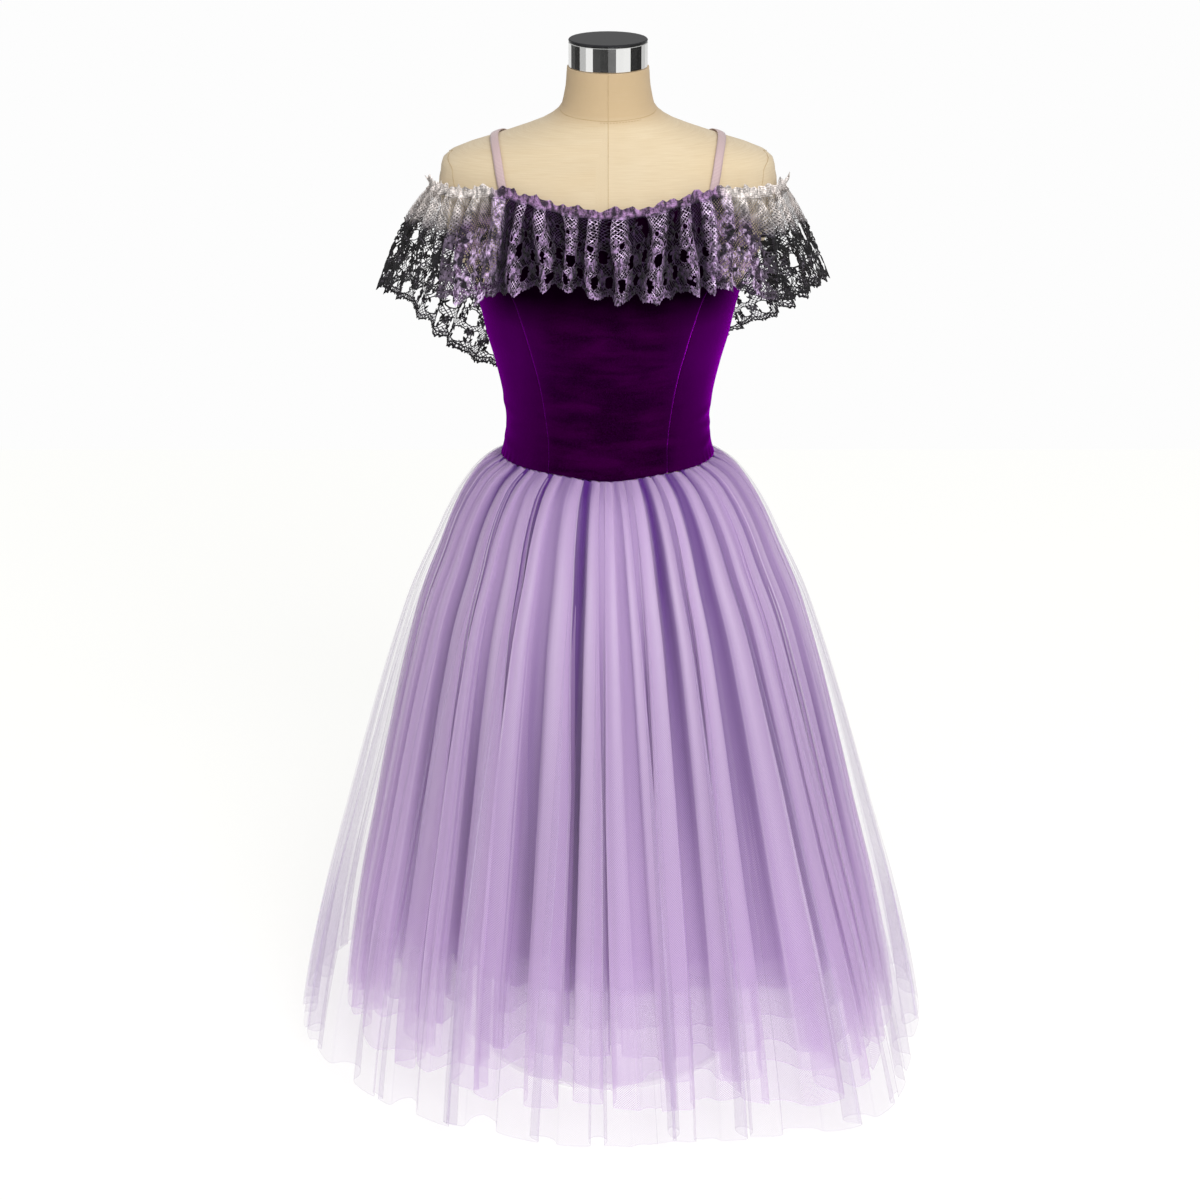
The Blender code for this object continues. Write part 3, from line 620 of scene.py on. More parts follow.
def strap(name, side):
    """One strap: a ribbon laid over the shoulder, square to the form all the way."""
    turn = np.radians(np.linspace(*STRAP_TURNS, 96))
    end_x = np.where(np.cos(turn) > 0, STRAP_X_FRONT, STRAP_X_BACK)
    centre = STRAP_X_TOP + (end_x - STRAP_X_TOP) * np.cos(turn) ** 2
    rows = []
    for share, crown in zip(np.linspace(-0.5, 0.5, len(STRAP_CROWN)), STRAP_CROWN):
        x = centre + share * STRAP_WIDE
        along = on_shoulder(x, turn + STRAP_STEP) - on_shoulder(x, turn - STRAP_STEP)
        across = on_shoulder(x + STRAP_WIDE / 2, turn) - on_shoulder(x - STRAP_WIDE / 2, turn)
        outward = np.cross(across, along)
        outward /= np.linalg.norm(outward, axis=1, keepdims=True)
        rows.append((on_shoulder(x, turn) + outward * (STRAP_CLEAR + crown)) * (side, 1, 1))
    points = np.array(rows[::-1] if side > 0 else rows)
    middle = points[len(rows) // 2]
    length = np.concatenate([[0], np.cumsum(np.linalg.norm(np.diff(middle, axis=0), axis=1))])
    wide = np.linspace(0, STRAP_WIDE, len(rows))
    uv = np.stack(np.broadcast_arrays(length[None, :], wide[:, None]), axis=-1)
    piece = surface(name, points, elastic, uv=uv)
    wall = piece.modifiers.new("elastic", "SOLIDIFY")
    wall.thickness = STRAP_THICK - PLUSH_LESS
    wall.offset = 1.0
    fasten(piece, "strap_elastic", name.replace("elastic_", ""))


strap("elastic_strap_left", 1)
strap("elastic_strap_right", -1)

# ---------------------------------------------------------------------------------------------------------
# The flounce: one strip of Chantilly-style lace, gathered on a cord elastic that rests off the shoulders
# and is tacked to the bodice's top edge. A fine net ground carries flowers, leaves and eyelets, and its
# lower edge is worked in corded scallops with picots. The strip is drawn flat, then laid in its gathers.
# ---------------------------------------------------------------------------------------------------------

FLOUNCE = table(
    "angle head_height head_out hem_x hem_y hem_height",
    (0.0, 1.0708, 0.0050, 0.000, -0.150, 0.990),
    (8.0, 1.0728, 0.0050, 0.030, -0.149, 0.996),
    (19.0, 1.0812, 0.0050, 0.074, -0.143, 0.996),
    (32.0, 1.0900, 0.0053, 0.120, -0.130, 0.992),
    (57.0, 1.0872, 0.0074, 0.184, -0.096, 0.980),
    (90.0, 1.0830, 0.0085, 0.250, -0.008, 0.972),
    (112.0, 1.0460, 0.0080, 0.227, 0.064, 0.931),
    (128.0, 0.9980, 0.0068, 0.193, 0.114, 0.881),
    (142.0, 0.9640, 0.0062, 0.150, 0.141, 0.850),
    (160.0, 0.9560, 0.0062, 0.090, 0.160, 0.828),
    (180.0, 0.9500, 0.0062, 0.000, 0.166, 0.822),
)
FLOUNCE_WAVES, FLOUNCE_CUT_ANGLE = 44, 94.0
VALLEY_SHARE = 0.15     # of a gather: where the even gathers start from the centre back
HANG_POWER, DROP_POWER, FLARE_FORWARD = 0.9, 1.1, 1.6
FLOUNCE_LONGER_RIGHT, FLOUNCE_BACK_TILT, SCALLOP_DROOP = 1.035, 0.10, 0.0070
HEADING_TALL = 0.0075
# How deep the gathers stand either side of the strip's middle, from the frill above the elastic to the hem.
GATHER_DEPTH = table("share depth", (-0.07, 0.0030), (0.0, 0.0012), (0.12, 0.0064), (0.30, 0.0104),
                     (0.60, 0.0110), (1.0, 0.0090), (1.1, 0.0090))
FLATTER_AT_SIDES, FLAT_ANGLE, FLAT_HALF_ANGLE = 0.55, 88.0, 30.0
FRILL_SHARE = 0.07      # of the drop, above the elastic
TUFT_OUT, TUFT_ANGLE, TUFT_HALF_ANGLE = 0.005, 84.0, 9.0    # where the frill stands up over the arm


def gather_phase(angle, share):
    """Where a point lies in the gathers: 0 in a valley, pi on a ridge.

    Two waves round the body make the gathers uneven, and two more make them wander on their way down.
    """
    turn = np.radians(angle)
    return (2 * np.pi * ((angle + 180.0) * FLOUNCE_WAVES / 360.0 - VALLEY_SHARE)
            + 0.75 * np.sin(7 * turn + 1.0) + 0.60 * np.sin(12 * turn)
            + 1.3 * share * np.sin(9 * turn + 2.0) + 0.8 * np.sin(4.5 * share + 16 * turn))


def lace_at(angle, share, lift=0.0):
    """Points of the gathered strip: an angle round the body, and a share of the way from elastic to hem."""
    angle, share = np.broadcast_arrays(np.asarray(angle, float), np.asarray(share, float))
    turn = np.radians(angle)
    wave = gather_phase(angle, share)
    down = np.clip(share, 0, None)
    # The gathers close up below the elastic, and less towards the hem.
    closed = np.clip(1.15 - share, 0.25, 1.0) * (share > 0)
    lean = 0.085 * np.sin(2 * wave) + 0.16 * np.sin(5 * turn + 1.0) * np.cos(wave)
    shift = 360.0 / FLOUNCE_WAVES * closed * lean
    half = both_ways(angle + shift)
    side = np.where((angle + shift + 180.0) % 360.0 >= 180.0, 1.0, -1.0)
    at = {column: curve_of(FLOUNCE, half, column) for column in FLOUNCE[0]}
    head = body(half, at["head_height"], at["head_out"])
    hem_x = at["hem_x"] * np.where(side < 0, FLOUNCE_LONGER_RIGHT, 1.0)
    hem_y = at["hem_y"]
    tilt = side * FLOUNCE_BACK_TILT * hem_x * np.clip(hem_y, 0, None) / FLOUNCE[-1]["hem_y"]
    hem_z = at["hem_height"] + tilt
    hang, drop = down ** HANG_POWER, down ** DROP_POWER
    x = head[..., 0] + hang * (hem_x - head[..., 0])
    y = head[..., 1] + hang * (hem_y - head[..., 1])
    z = head[..., 2] + drop * (hem_z - head[..., 2])
    ridge = -np.cos(wave) + 0.30 * np.cos(2 * wave + 1.5 * np.sin(5 * turn)) * np.clip(3 * down, 0, 1)
    z = z - SCALLOP_DROOP * down ** 3 * (0.3 * ridge + 0.9 * np.cos(7 * (turn - math.radians(11.0))))
    frill = np.clip(-share, 0, None) / FRILL_SHARE
    z = z + frill * HEADING_TALL * (1.0 + 0.25 * np.sin(31 * turn) + 0.2 * np.sin(83 * turn))
    tuft = frill * TUFT_OUT * np.exp(-((half - TUFT_ANGLE) / TUFT_HALF_ANGLE) ** 2)
    swell = 1.0 + 0.25 * np.sin(7 * turn) + 0.22 * np.sin(5 * turn + 2)
    deep = curve_of(GATHER_DEPTH, share, "depth") * swell
    deep = deep * (1.0 - FLATTER_AT_SIDES * np.exp(-((half - FLAT_ANGLE) / FLAT_HALF_ANGLE) ** 2))
    out_x, out_y = hem_x, hem_y * FLARE_FORWARD
    push = (ridge * deep + lift + tuft) / np.hypot(out_x, out_y)
    return np.stack([side * (x + push * out_x), y + push * out_y, z + 0.6 * tuft], axis=-1)


round_body = np.linspace(-180.0, 180.0, 4401)
at_elastic, at_hem = lace_at(round_body, 0.0), lace_at(round_body, 1.0)
STRIP_LONG = float(np.linalg.norm(np.diff(lace_at(round_body, 0.6), axis=0), axis=1).sum())
DROP_WITHIN, CUT_LONGER = 4.5, 1.03     # degrees either way, and what the waves take up


def drop(angle):
    """How long the strip is cut at an angle, from the elastic to the hem."""
    near = np.abs(round_body - angle) < DROP_WITHIN
    return CUT_LONGER * float(np.linalg.norm(at_elastic[near].mean(axis=0) - at_hem[near].mean(axis=0)))


DROP = table("angle long", *((float(angle), drop(angle)) for angle in range(0, 176, 12)))


class Strip:
    """Lace drawn flat: first along the strip from its centre-back join, then up from the scallops' foot."""

    def __init__(self):
        self.points, self.faces, self.count = [], [], 0

    def add(self, points, faces):
        """More faces over points of their own."""
        points = np.asarray(points, float)
        self.points.append(points)
        self.faces.append(np.asarray(faces, int) + self.count)
        self.count += len(points)

    def ribbons(self, start, end, wide):
        """Straight threads from start to end points, each a flat ribbon."""
        along = end - start
        across = np.stack([-along[:, 1], along[:, 0]], axis=1)
        across *= wide / 2 / np.linalg.norm(across, axis=1, keepdims=True)
        corners = np.stack([start + across, start - across, end - across, end + across], axis=1)
        self.add(corners.reshape(-1, 2), np.arange(4 * len(start)).reshape(-1, 4))

    def cord(self, line, wide):
        """A cord along a line of points, as one mitred ribbon."""
        line = np.asarray(line, float)
        along = np.gradient(line, axis=0)
        across = np.stack([-along[:, 1], along[:, 0]], axis=1)
        across *= wide / 2 / np.linalg.norm(across, axis=1, keepdims=True)
        corners = np.concatenate([line + across, line - across])
        k, n = np.arange(len(line) - 1), len(line)
        self.add(corners, np.stack([k, k + n, k + n + 1, k + 1], axis=1))

    def leaf(self, centre, long, wide, turn, blunt=1.0):
        """A leaf or petal: an ellipse drawn out to a point, or a blunt one."""
        t = np.linspace(0, 2 * np.pi, 11)[:-1]
        x = long / 2 * np.cos(t)
        y = wide / 2 * np.sin(t) * (1 - (1 - blunt) * np.abs(np.cos(t)))
        c, s = math.cos(turn), math.sin(turn)
        rim = np.stack([centre[0] + c * x - s * y, centre[1] + s * x + c * y], axis=1)
        k = np.arange(4)
        self.add(rim, np.stack([k, k + 1, 8 - k, 9 - k], axis=1))

    def ring(self, centre, radius_x, radius_y, wide):
        """A cord round an ellipse."""
        t = np.linspace(0, 2 * np.pi, 15)
        rim = np.stack([centre[0] + radius_x * np.cos(t), centre[1] + radius_y * np.sin(t)], axis=1)
        self.cord(rim, wide)


# Sizes of the lace, in metres. The net's threads are 0.2 mm and its holes 1.5 mm; both are drawn coarser, so
# that the net shows. Across the front it is the closer of the two grades, which gathers over the bust.
NET, FRONT_THREAD, SIDE_THREAD = 0.0032, 0.00070, 0.00096
THREAD_WIDE = ((28.0, 32.0, 47.0, 56.0), (FRONT_THREAD, 0.0017, 0.0016, SIDE_THREAD))   # by angle
REPEATS = 46
REPEAT = STRIP_LONG / REPEATS
CORD, FINE_CORD = 0.0019, 0.0012
# In each repeat: the flowers and the openings between them, at a share of the repeat and a height.
FLOWERS = table("up share radius petals", (0.0215, 0.25, 0.0092, 6), (0.0235, 0.76, 0.0086, 5),
                (0.0400, 0.01, 0.0082, 5), (0.0430, 0.50, 0.0090, 6), (0.0630, 0.27, 0.0076, 5),
                (0.0610, 0.74, 0.0080, 6), (0.0820, 0.02, 0.0058, 5), (0.0855, 0.52, 0.0056, 5),
                (0.1010, 0.26, 0.0040, 4), (0.1030, 0.77, 0.0038, 4))
FLOWERS_AT_SIDES, SIDES_BEGIN = 0.62, 60.0
OPENINGS = table("up share wide tall", (0.0190, 0.00, 0.0062, 0.0056), (0.0205, 0.51, 0.0058, 0.0060),
                 (0.0425, 0.255, 0.0066, 0.0060), (0.0445, 0.76, 0.0060, 0.0066),
                 (0.0610, 0.00, 0.0058, 0.0060), (0.0650, 0.505, 0.0052, 0.0064),
                 (0.0830, 0.26, 0.0048, 0.0044), (0.0805, 0.75, 0.0046, 0.0050))
# How open the lace is by angle: most round the sides and back, and closest at the armholes.
OPENNESS = ((28.0, 31.0, 47.0, 56.0, 72.0, 95.0, 115.0, 140.0),
            (1.40, 0.45, 0.55, 1.90, 2.15, 2.15, 1.95, 1.45))
FRONT_ENDS = (34.0, 48.0)       # degrees over which the front's pattern gives way to the sides'
FRONT_FINER, BORDER = 0.46, 0.50
WORKED_FRONT, WORKED_SIDES = 0.78, 0.62         # of the strip's height
LOBES, LOBE_DEEP = 5, 0.16
WANDERS_ALONG, WANDERS_UP = 0.0022, 0.0020
NET_FROM_EDGE, NET_BEYOND = 0.0005, 1.06        # up from the scallops, and to where in the frill
# A flower's petals and eye, and a cord's width round it, as shares of the flower's radius.
PETAL_OUT, PETAL_LONG, PETALS_WIDE, PETAL_BLUNT = 0.60, 0.98, 3.2, 0.9
EYE, EYE_CORD, SIZES_DIFFER = 0.26, 0.16, 0.12
HEADING_CORDS = table("share wide", (0.956, 0.0024), (0.978, 0.0028), (1.000, 0.0032), (1.022, 0.0026),
                      (1.043, 0.0024), (1.062, 0.0020))
SCALLOP_FOOT, SCALLOP_DEEP, SHALLOWER_AT_SIDES, NOTCH = 0.0070, 0.0056, 0.0026, 0.0013
INNER_EDGE, INNER_FOLLOWS, BAR_SLANT, BAR_WIDE = 0.0050, 0.85, 0.0008, 0.0010
PICOT_LONG, PICOT_WIDE, PICOT_BELOW, PICOTS = 0.0021, 0.0024, 0.0012, 12


def wander(u, up, speed):
    """How far a motif is out of its even place, from -1 to 1."""
    return np.sin(speed * 97.0 * u + 260.0 * up)


def angle_of(u):
    """The angle round the body of a place along the strip."""
    return 360.0 * u / STRIP_LONG - 180.0


def scallop(u):
    """The lower edge: two round scallops a repeat, each cut in four, and shallower at the sides."""
    deep = SCALLOP_DEEP - SHALLOWER_AT_SIDES * np.interp(both_ways(angle_of(u)), (50.0, 66.0), (0.0, 1.0))
    return (SCALLOP_FOOT - deep * np.abs(np.sin(2 * np.pi * u / REPEAT)) ** 0.9
            - NOTCH * np.abs(np.sin(8 * np.pi * u / REPEAT)))


def tall_at(u):
    """How tall the strip is cut, from the scallops' foot to the elastic."""
    return curve_of(DROP, both_ways(angle_of(u)), "long")


def opening_size(u):
    """The size of the openings, against the table's."""
    return np.interp(both_ways(angle_of(u)), *OPENNESS)


def worked_to(u):
    """How high the flowers and openings reach; above them the net is plain."""
    return tall_at(u) * np.interp(both_ways(angle_of(u)), FRONT_ENDS, (WORKED_FRONT, WORKED_SIDES))


def finer(u, up):
    """The size of the work, against the table's: across the front, above the border, about half."""
    in_front = np.interp(both_ways(angle_of(u)), FRONT_ENDS, (1.0, 0.0))
    return 1.0 - FRONT_FINER * in_front * (up > BORDER * tall_at(u))


def net_ground():
    """The net, left out in the openings between the flowers."""
    strip = Strip()
    half = NET / math.sqrt(2)
    tallest = max(row["long"] for row in DROP) + HEADING_TALL
    i, j = np.meshgrid(np.arange(int(STRIP_LONG / half)), np.arange(-3, int(tallest / half)), indexing="ij")
    keep = (i + j) % 2 == 0
    i, j = i[keep], j[keep]
    for step in (1, -1):
        start = np.stack([i * half, j * half], axis=1)
        end = start + np.array([half, step * half])
        u, up = ((start + end) / 2).T
        within = (up > scallop(u) + NET_FROM_EDGE) & (up < tall_at(u) * NET_BEYOND)
        for opening in OPENINGS:
            across = ((u / REPEAT - opening["share"] + 0.5) % 1.0 - 0.5) * REPEAT
            centre = u - across
            across = across - WANDERS_ALONG * wander(centre, opening["up"], 1.0)
            above = up - opening["up"] - WANDERS_ALONG * wander(centre, opening["up"], 1.7)
            size = opening_size(u) * finer(u, opening["up"])
            lobed = size * (1 + LOBE_DEEP * np.cos(LOBES * np.arctan2(above, across) + 400 * opening["up"]))
            outside = (across / opening["wide"]) ** 2 + (above / opening["tall"]) ** 2 > lobed ** 2
            within &= outside | (opening["up"] > worked_to(u))
        thread = np.interp(both_ways(angle_of(u[within])), *THREAD_WIDE)
        strip.ribbons(start[within], end[within], thread[:, None])
    return strip


def flower(strip, centre, radius, petals, turn):
    """A flower: petals round an open eye, each drawn to a blunt tip."""
    for petal in range(int(petals)):
        way = turn + 2 * math.pi * petal / petals
        out = PETAL_OUT * radius
        strip.leaf((centre[0] + out * math.cos(way), centre[1] + out * math.sin(way)),
                   PETAL_LONG * radius, PETALS_WIDE * radius / petals, way, PETAL_BLUNT)
    strip.ring(centre, EYE * radius, EYE * radius, EYE_CORD * radius)


def opening_rim(strip, centre, wide, tall, size, twist):
    """A corded opening with two leaves at either side of it."""
    blade = min(1.0, 1.5 / size)
    strip.ring(centre, wide * size, tall * size, FINE_CORD)
    for side in (-1, 1):
        turn = side * (1.1 + 0.3 * twist)
        for above, long in ((0.0050, 0.0094), (-0.0048, 0.0086)):
            strip.leaf((centre[0] + side * (wide + 0.0015), centre[1] + above), long * blade, 0.0040 * blade,
                       turn if above > 0 else -turn, 0.4)


def motifs():
    """The flowers, leaves, rims of the openings, corded scallops, bars and picots."""
    strip = Strip()
    for left in (repeat * REPEAT for repeat in range(REPEATS)):
        for row in FLOWERS:
            u, up = left + row["share"] * REPEAT, row["up"]
            if up < float(worked_to(u)):
                size = (1 + SIZES_DIFFER * wander(u, up, 2.3)) * float(finer(u, up))
                size *= FLOWERS_AT_SIDES ** float(both_ways(angle_of(u)) > SIDES_BEGIN)
                centre = (u + WANDERS_ALONG * wander(u, up, 1.3), up + WANDERS_UP * wander(u, up, 0.7))
                flower(strip, centre, row["radius"] * size, row["petals"], 3.0 * wander(u, up, 3.1))
        for row in OPENINGS:
            u, up = left + row["share"] * REPEAT, row["up"]
            if up <= float(worked_to(u)):
                centre = (u + WANDERS_ALONG * wander(u, up, 1.0), up + WANDERS_ALONG * wander(u, up, 1.7))
                opening_rim(strip, centre, row["wide"], row["tall"],
                            float(opening_size(u)) * float(finer(u, up)), wander(u, up, 2.9))
    u = np.linspace(0, STRIP_LONG, REPEATS * 48 + 1)
    strip.cord(np.stack([u, scallop(u)], axis=1), CORD)
    strip.cord(np.stack([u, INNER_EDGE + INNER_FOLLOWS * scallop(u)], axis=1), FINE_CORD * 1.2)
    bars = u[::3]
    strip.ribbons(np.stack([bars, scallop(bars)], axis=1),
                  np.stack([bars + BAR_SLANT, INNER_EDGE + INNER_FOLLOWS * scallop(bars)], axis=1), BAR_WIDE)
    for k in range(REPEATS * PICOTS):
        at = (k + 0.5) * REPEAT / PICOTS
        strip.leaf((at, float(scallop(at)) - PICOT_BELOW), PICOT_LONG, PICOT_WIDE, math.pi / 2)
    u = np.linspace(0, STRIP_LONG, FLOUNCE_WAVES * 14 + 1)
    for row in HEADING_CORDS:
        line = tall_at(u) * row["share"] + 0.0006 * np.sin(u * 1900 * row["share"])
        strip.cord(np.stack([u, line], axis=1), row["wide"])
    return strip


def lay_in_gathers(name, strip, front, lift, material):
    """The strip's front or back stretch, bent into the gathers, with its flat area and height."""
    flat = np.concatenate(strip.points)
    angle = angle_of(flat[:, 0])
    share = 1.0 - flat[:, 1] / tall_at(flat[:, 0])
    shaped = lace_at(angle, share, lift)
    faces = np.concatenate([
        block[(both_ways(angle[block]).mean(axis=1) < FLOUNCE_CUT_ANGLE) == front]
        for block in strip.faces])
    used = np.unique(faces)
    renumber = np.full(len(flat), -1)
    renumber[used] = np.arange(len(used))
    mesh = bpy.data.meshes.new(name)
    mesh.from_pydata(shaped[used].tolist(), [], renumber[faces].tolist())
    for attribute, values in (("round", both_ways(angle[used]) / 180.0), ("down", share[used]),
                              ("valley", 0.5 + 0.5 * np.cos(gather_phase(angle[used], share[used])))):
        made = mesh.attributes.new(attribute, "FLOAT", "POINT")
        made.data.foreach_set("value", values.astype(np.float32))
    mesh.materials.append(material)
    mesh.shade_smooth()
    corners = flat[faces]
    one, other = corners[:, 2] - corners[:, 0], corners[:, 3] - corners[:, 1]
    area = float(np.abs(one[:, 0] * other[:, 1] - one[:, 1] * other[:, 0]).sum() / 2)
    return put(name, mesh), area, float(flat[used][:, 1].max())


# Cotton and rayon lace thread: matt and hairy. Its colours run round the flounce, from mauve at the front
# to ivory over the arms; darker below that and round the back is painted shade of the backlit lace. In the
# gathers' valleys it is painted darker as shade. The net is paler than the cords at the front, at the back
# and below, and darker by the armholes, as painted shade. The hairs are too fine to show, so clumps of
# 1.6 mm stand for them, and lighter and darker streaks run downwards, 4.5 mm apart, as painted light and
# shade.
LACE_SHADES = table(
    "name heading front front_valley ivory ivory_valley armhole back dark",
    ("lace_cord_thread",
     "#765a7c", "#80688a", "#22112a", "#d0c8c4", "#968e8a", "#9a86a2", "#2e2834", "#121014"),
    ("lace_net_thread",
     "#705474", "#b09cb8", "#22122c", "#ccc4c0", "#96908e", "#5e4a64", "#76727a", "#4a464e"),
)
HOLLOW_SHADOW_TONE = "#1e1424"
CLOUDS, HAIRS, LAYERS, STREAKS = 75.0, 1 / 0.0016, 1 / 0.010, 1 / 0.0045      # a metre
HEADING_SLANT = -0.07


def lace_thread(name, heading, front, front_valley, ivory, ivory_valley, armhole, back, dark):
    """The thread of the net or of the cords, in its shades."""
    material, tree, shader = new_material(name, Roughness=0.85, Sheen_Weight=0.05, Sheen_Roughness=0.5)
    round_it, down, valley = (add_node(tree, "ShaderNodeAttribute", attribute_name=attribute).outputs["Fac"]
                              for attribute in ("round", "down", "valley"))
    place = add_node(tree, "ShaderNodeTexCoord").outputs["Object"]
    cloudy, hairy, layers = (
        add_node(tree, "ShaderNodeTexNoise",
                 {"Vector": place, "Scale": scale, "Detail": detail}).outputs["Fac"]
        for scale, detail in ((CLOUDS, 2.0), (HAIRS, 1.0), (LAYERS, 1.0)))
    downward = add_node(tree, "ShaderNodeMapping", {"Vector": place, "Scale": (1.0, 1.0, 0.4)})
    streaks = add_node(tree, "ShaderNodeTexNoise", {"Vector": downward.outputs["Vector"], "Scale": STREAKS,
                                                    "Detail": 3.0, "Roughness": 0.6}).outputs["Fac"]

    # Where each shade begins and ends: round the body, down the strip, and in the gathers' valleys.
    slanted = add_node(tree, "ShaderNodeMath", {0: down, 1: HEADING_SLANT, 2: round_it},
                       operation="MULTIPLY_ADD").outputs[0]
    (sideways, backwards, valley_shadow, lower, past_bust, before_arm, below_heading, at_heading, layered) = (
        add_node(tree, "ShaderNodeMapRange", {"Value": value, 1: start, 2: end}).outputs[0]
        for value, start, end in ((slanted, 0.195, 0.225), (round_it, 0.50, 0.62), (valley, 0.02, 0.60),
                                  (down, 0.22, 0.42), (round_it, 0.178, 0.200), (round_it, 0.31, 0.27),
                                  (down, 0.10, 0.35), (down, 0.05, 0.0), (layers, 0.50, 0.58)))
    in_shadow_below, by_armhole = (
        add_node(tree, "ShaderNodeMath", {0: one, 1: other}, operation="MULTIPLY").outputs[0]
        for one, other in ((lower, sideways), (past_bust, before_arm)))
    # Where the strip is caught up by the armholes it lies in several layers, with painted shadow in the
    # hollows.
    caught = add_node(tree, "ShaderNodeMath", {0: by_armhole, 1: below_heading},
                      operation="MULTIPLY").outputs[0]
    hollow_shadow = add_node(tree, "ShaderNodeMath", {0: caught, 1: layered}, operation="MULTIPLY").outputs[0]

    # In the gathers' valleys the thread is painted darker, as shade.
    tone, at_sides, at_top = (
        add_node(tree, "ShaderNodeMix", {0: share, 6: linear(first), 7: linear(second)},
                 data_type="RGBA").outputs[2]
        for share, first, second in ((valley_shadow, front, front_valley), (valley_shadow, ivory, ivory_valley),
                                     (sideways, heading, ivory)))
    # Over these go the ivory sides, painted shade round the back and below, the armholes' tone, and the
    # heading.
    for share, over in ((sideways, at_sides), (backwards, linear(back)), (in_shadow_below, linear(dark)),
                        (caught, linear(armhole)), (at_heading, at_top), (hollow_shadow, linear(HOLLOW_SHADOW_TONE))):
        tone = add_node(tree, "ShaderNodeMix", {0: share, 6: tone, 7: over}, data_type="RGBA").outputs[2]

    both = add_node(tree, "ShaderNodeMath", {0: hairy, 1: 0.8, 2: cloudy},
                    operation="MULTIPLY_ADD").outputs[0]
    # The tone is mottled by hairs and clouds, and by streaks down the folds that paint light and shade there.
    mottled, strongly, mildly = (
        add_node(tree, "ShaderNodeMapRange", {"Value": value, 1: start, 2: end, 3: least, 4: most}).outputs[0]
        for value, start, end, least, most in ((both, 0.62, 1.18, 0.50, 1.45),
                                               (streaks, 0.42, 0.60, 0.25, 2.3),
                                               (streaks, 0.38, 0.64, 0.55, 1.75)))
    fold_light_streaks = add_node(tree, "ShaderNodeMix", {0: sideways, 2: strongly, 3: mildly}).outputs[0]
    uneven_tone = add_node(tree, "ShaderNodeMath", {0: mottled, 1: fold_light_streaks}, operation="MULTIPLY").outputs[0]
    streaked_tone = add_node(tree, "ShaderNodeVectorMath", {0: tone, 3: uneven_tone}, operation="SCALE")
    bump = add_node(tree, "ShaderNodeBump", {"Height": hairy, "Strength": 0.5, "Distance": 0.0005})
    feed(tree, shader, Base_Color=streaked_tone.outputs[0], Normal=bump.outputs["Normal"])
    return material


cord_threads, net_threads = (lace_thread(**shades) for shades in LACE_SHADES)
RELIEF = 0.0006         # how far the worked motifs stand up from the net, and how thick they are
ground, pattern = net_ground(), motifs()
for half_name, is_front in (("front", True), ("back", False)):
    work, *_ = lay_in_gathers("lace_motifs_" + half_name, pattern, is_front, RELIEF, cord_threads)
    relief = work.modifiers.new("relief", "SOLIDIFY")
    relief.thickness = RELIEF
    relief.offset = 1.0
    fasten(work, "lace")
    net, net_area, tall = lay_in_gathers("lace_net_" + half_name, ground, is_front, 0.0, net_threads)
    fasten(net, "lace", "lace_flounce_" + half_name)

# ---------------------------------------------------------------------------------------------------------
# The skirt: a full-length lining under six plies of soft nylon tulle of several lengths, each gathered on
# its own thread and sewn into the waist seam. Below the seam the plies hang in the same broad flutes, which
# lap over the gaps between them, and their raw hems show no stitching.
# ---------------------------------------------------------------------------------------------------------

# Tulle: a knitted net of fine nylon with 1.5 mm holes, so a ply is mostly air: it veils what is behind it.
# Its tint and cover are worked out point by point below, and its holes are drawn as a fine check.
TULLE_HOLE = 0.0015
nylon_tulle, tree, shader = new_material("nylon_tulle", Roughness=0.6, Specular_IOR_Level=0.2)
cut = add_node(tree, "ShaderNodeUVMap", uv_map="cut").outputs["UV"]
tint = add_node(tree, "ShaderNodeAttribute", attribute_name="tint").outputs["Color"]
cover = add_node(tree, "ShaderNodeAttribute", attribute_name="cover").outputs["Fac"]
holes = add_node(tree, "ShaderNodeTexChecker", {"Vector": cut, "Scale": 1 / TULLE_HOLE})
threads = add_node(tree, "ShaderNodeMapRange", {"Value": holes.outputs["Fac"], 3: 0.85, 4: 1.15})
netted = add_node(tree, "ShaderNodeMath", {0: cover, 1: threads.outputs[0]}, operation="MULTIPLY",
                  use_clamp=True)
feed(tree, shader, Base_Color=tint, Alpha=netted.outputs[0])

# The lining: polyester tricot in the same lilac, opaque and faintly shiny, knitted in wales of 1.2 mm.
WALE = 0.0012
tricot, tree, shader = new_material("tricot_lining", Roughness=0.55, Sheen_Weight=0.2, Specular_IOR_Level=0.3)
cut = add_node(tree, "ShaderNodeUVMap", uv_map="cut").outputs["UV"]
tint = add_node(tree, "ShaderNodeAttribute", attribute_name="tint").outputs["Color"]
wales = add_node(tree, "ShaderNodeTexWave", {"Vector": cut, "Scale": BAND / WALE, "Distortion": 0.2})
bump = add_node(tree, "ShaderNodeBump", {"Height": wales.outputs["Fac"], "Strength": 0.2, "Distance": 0.0003})
feed(tree, shader, Base_Color=tint, Normal=bump.outputs["Normal"])

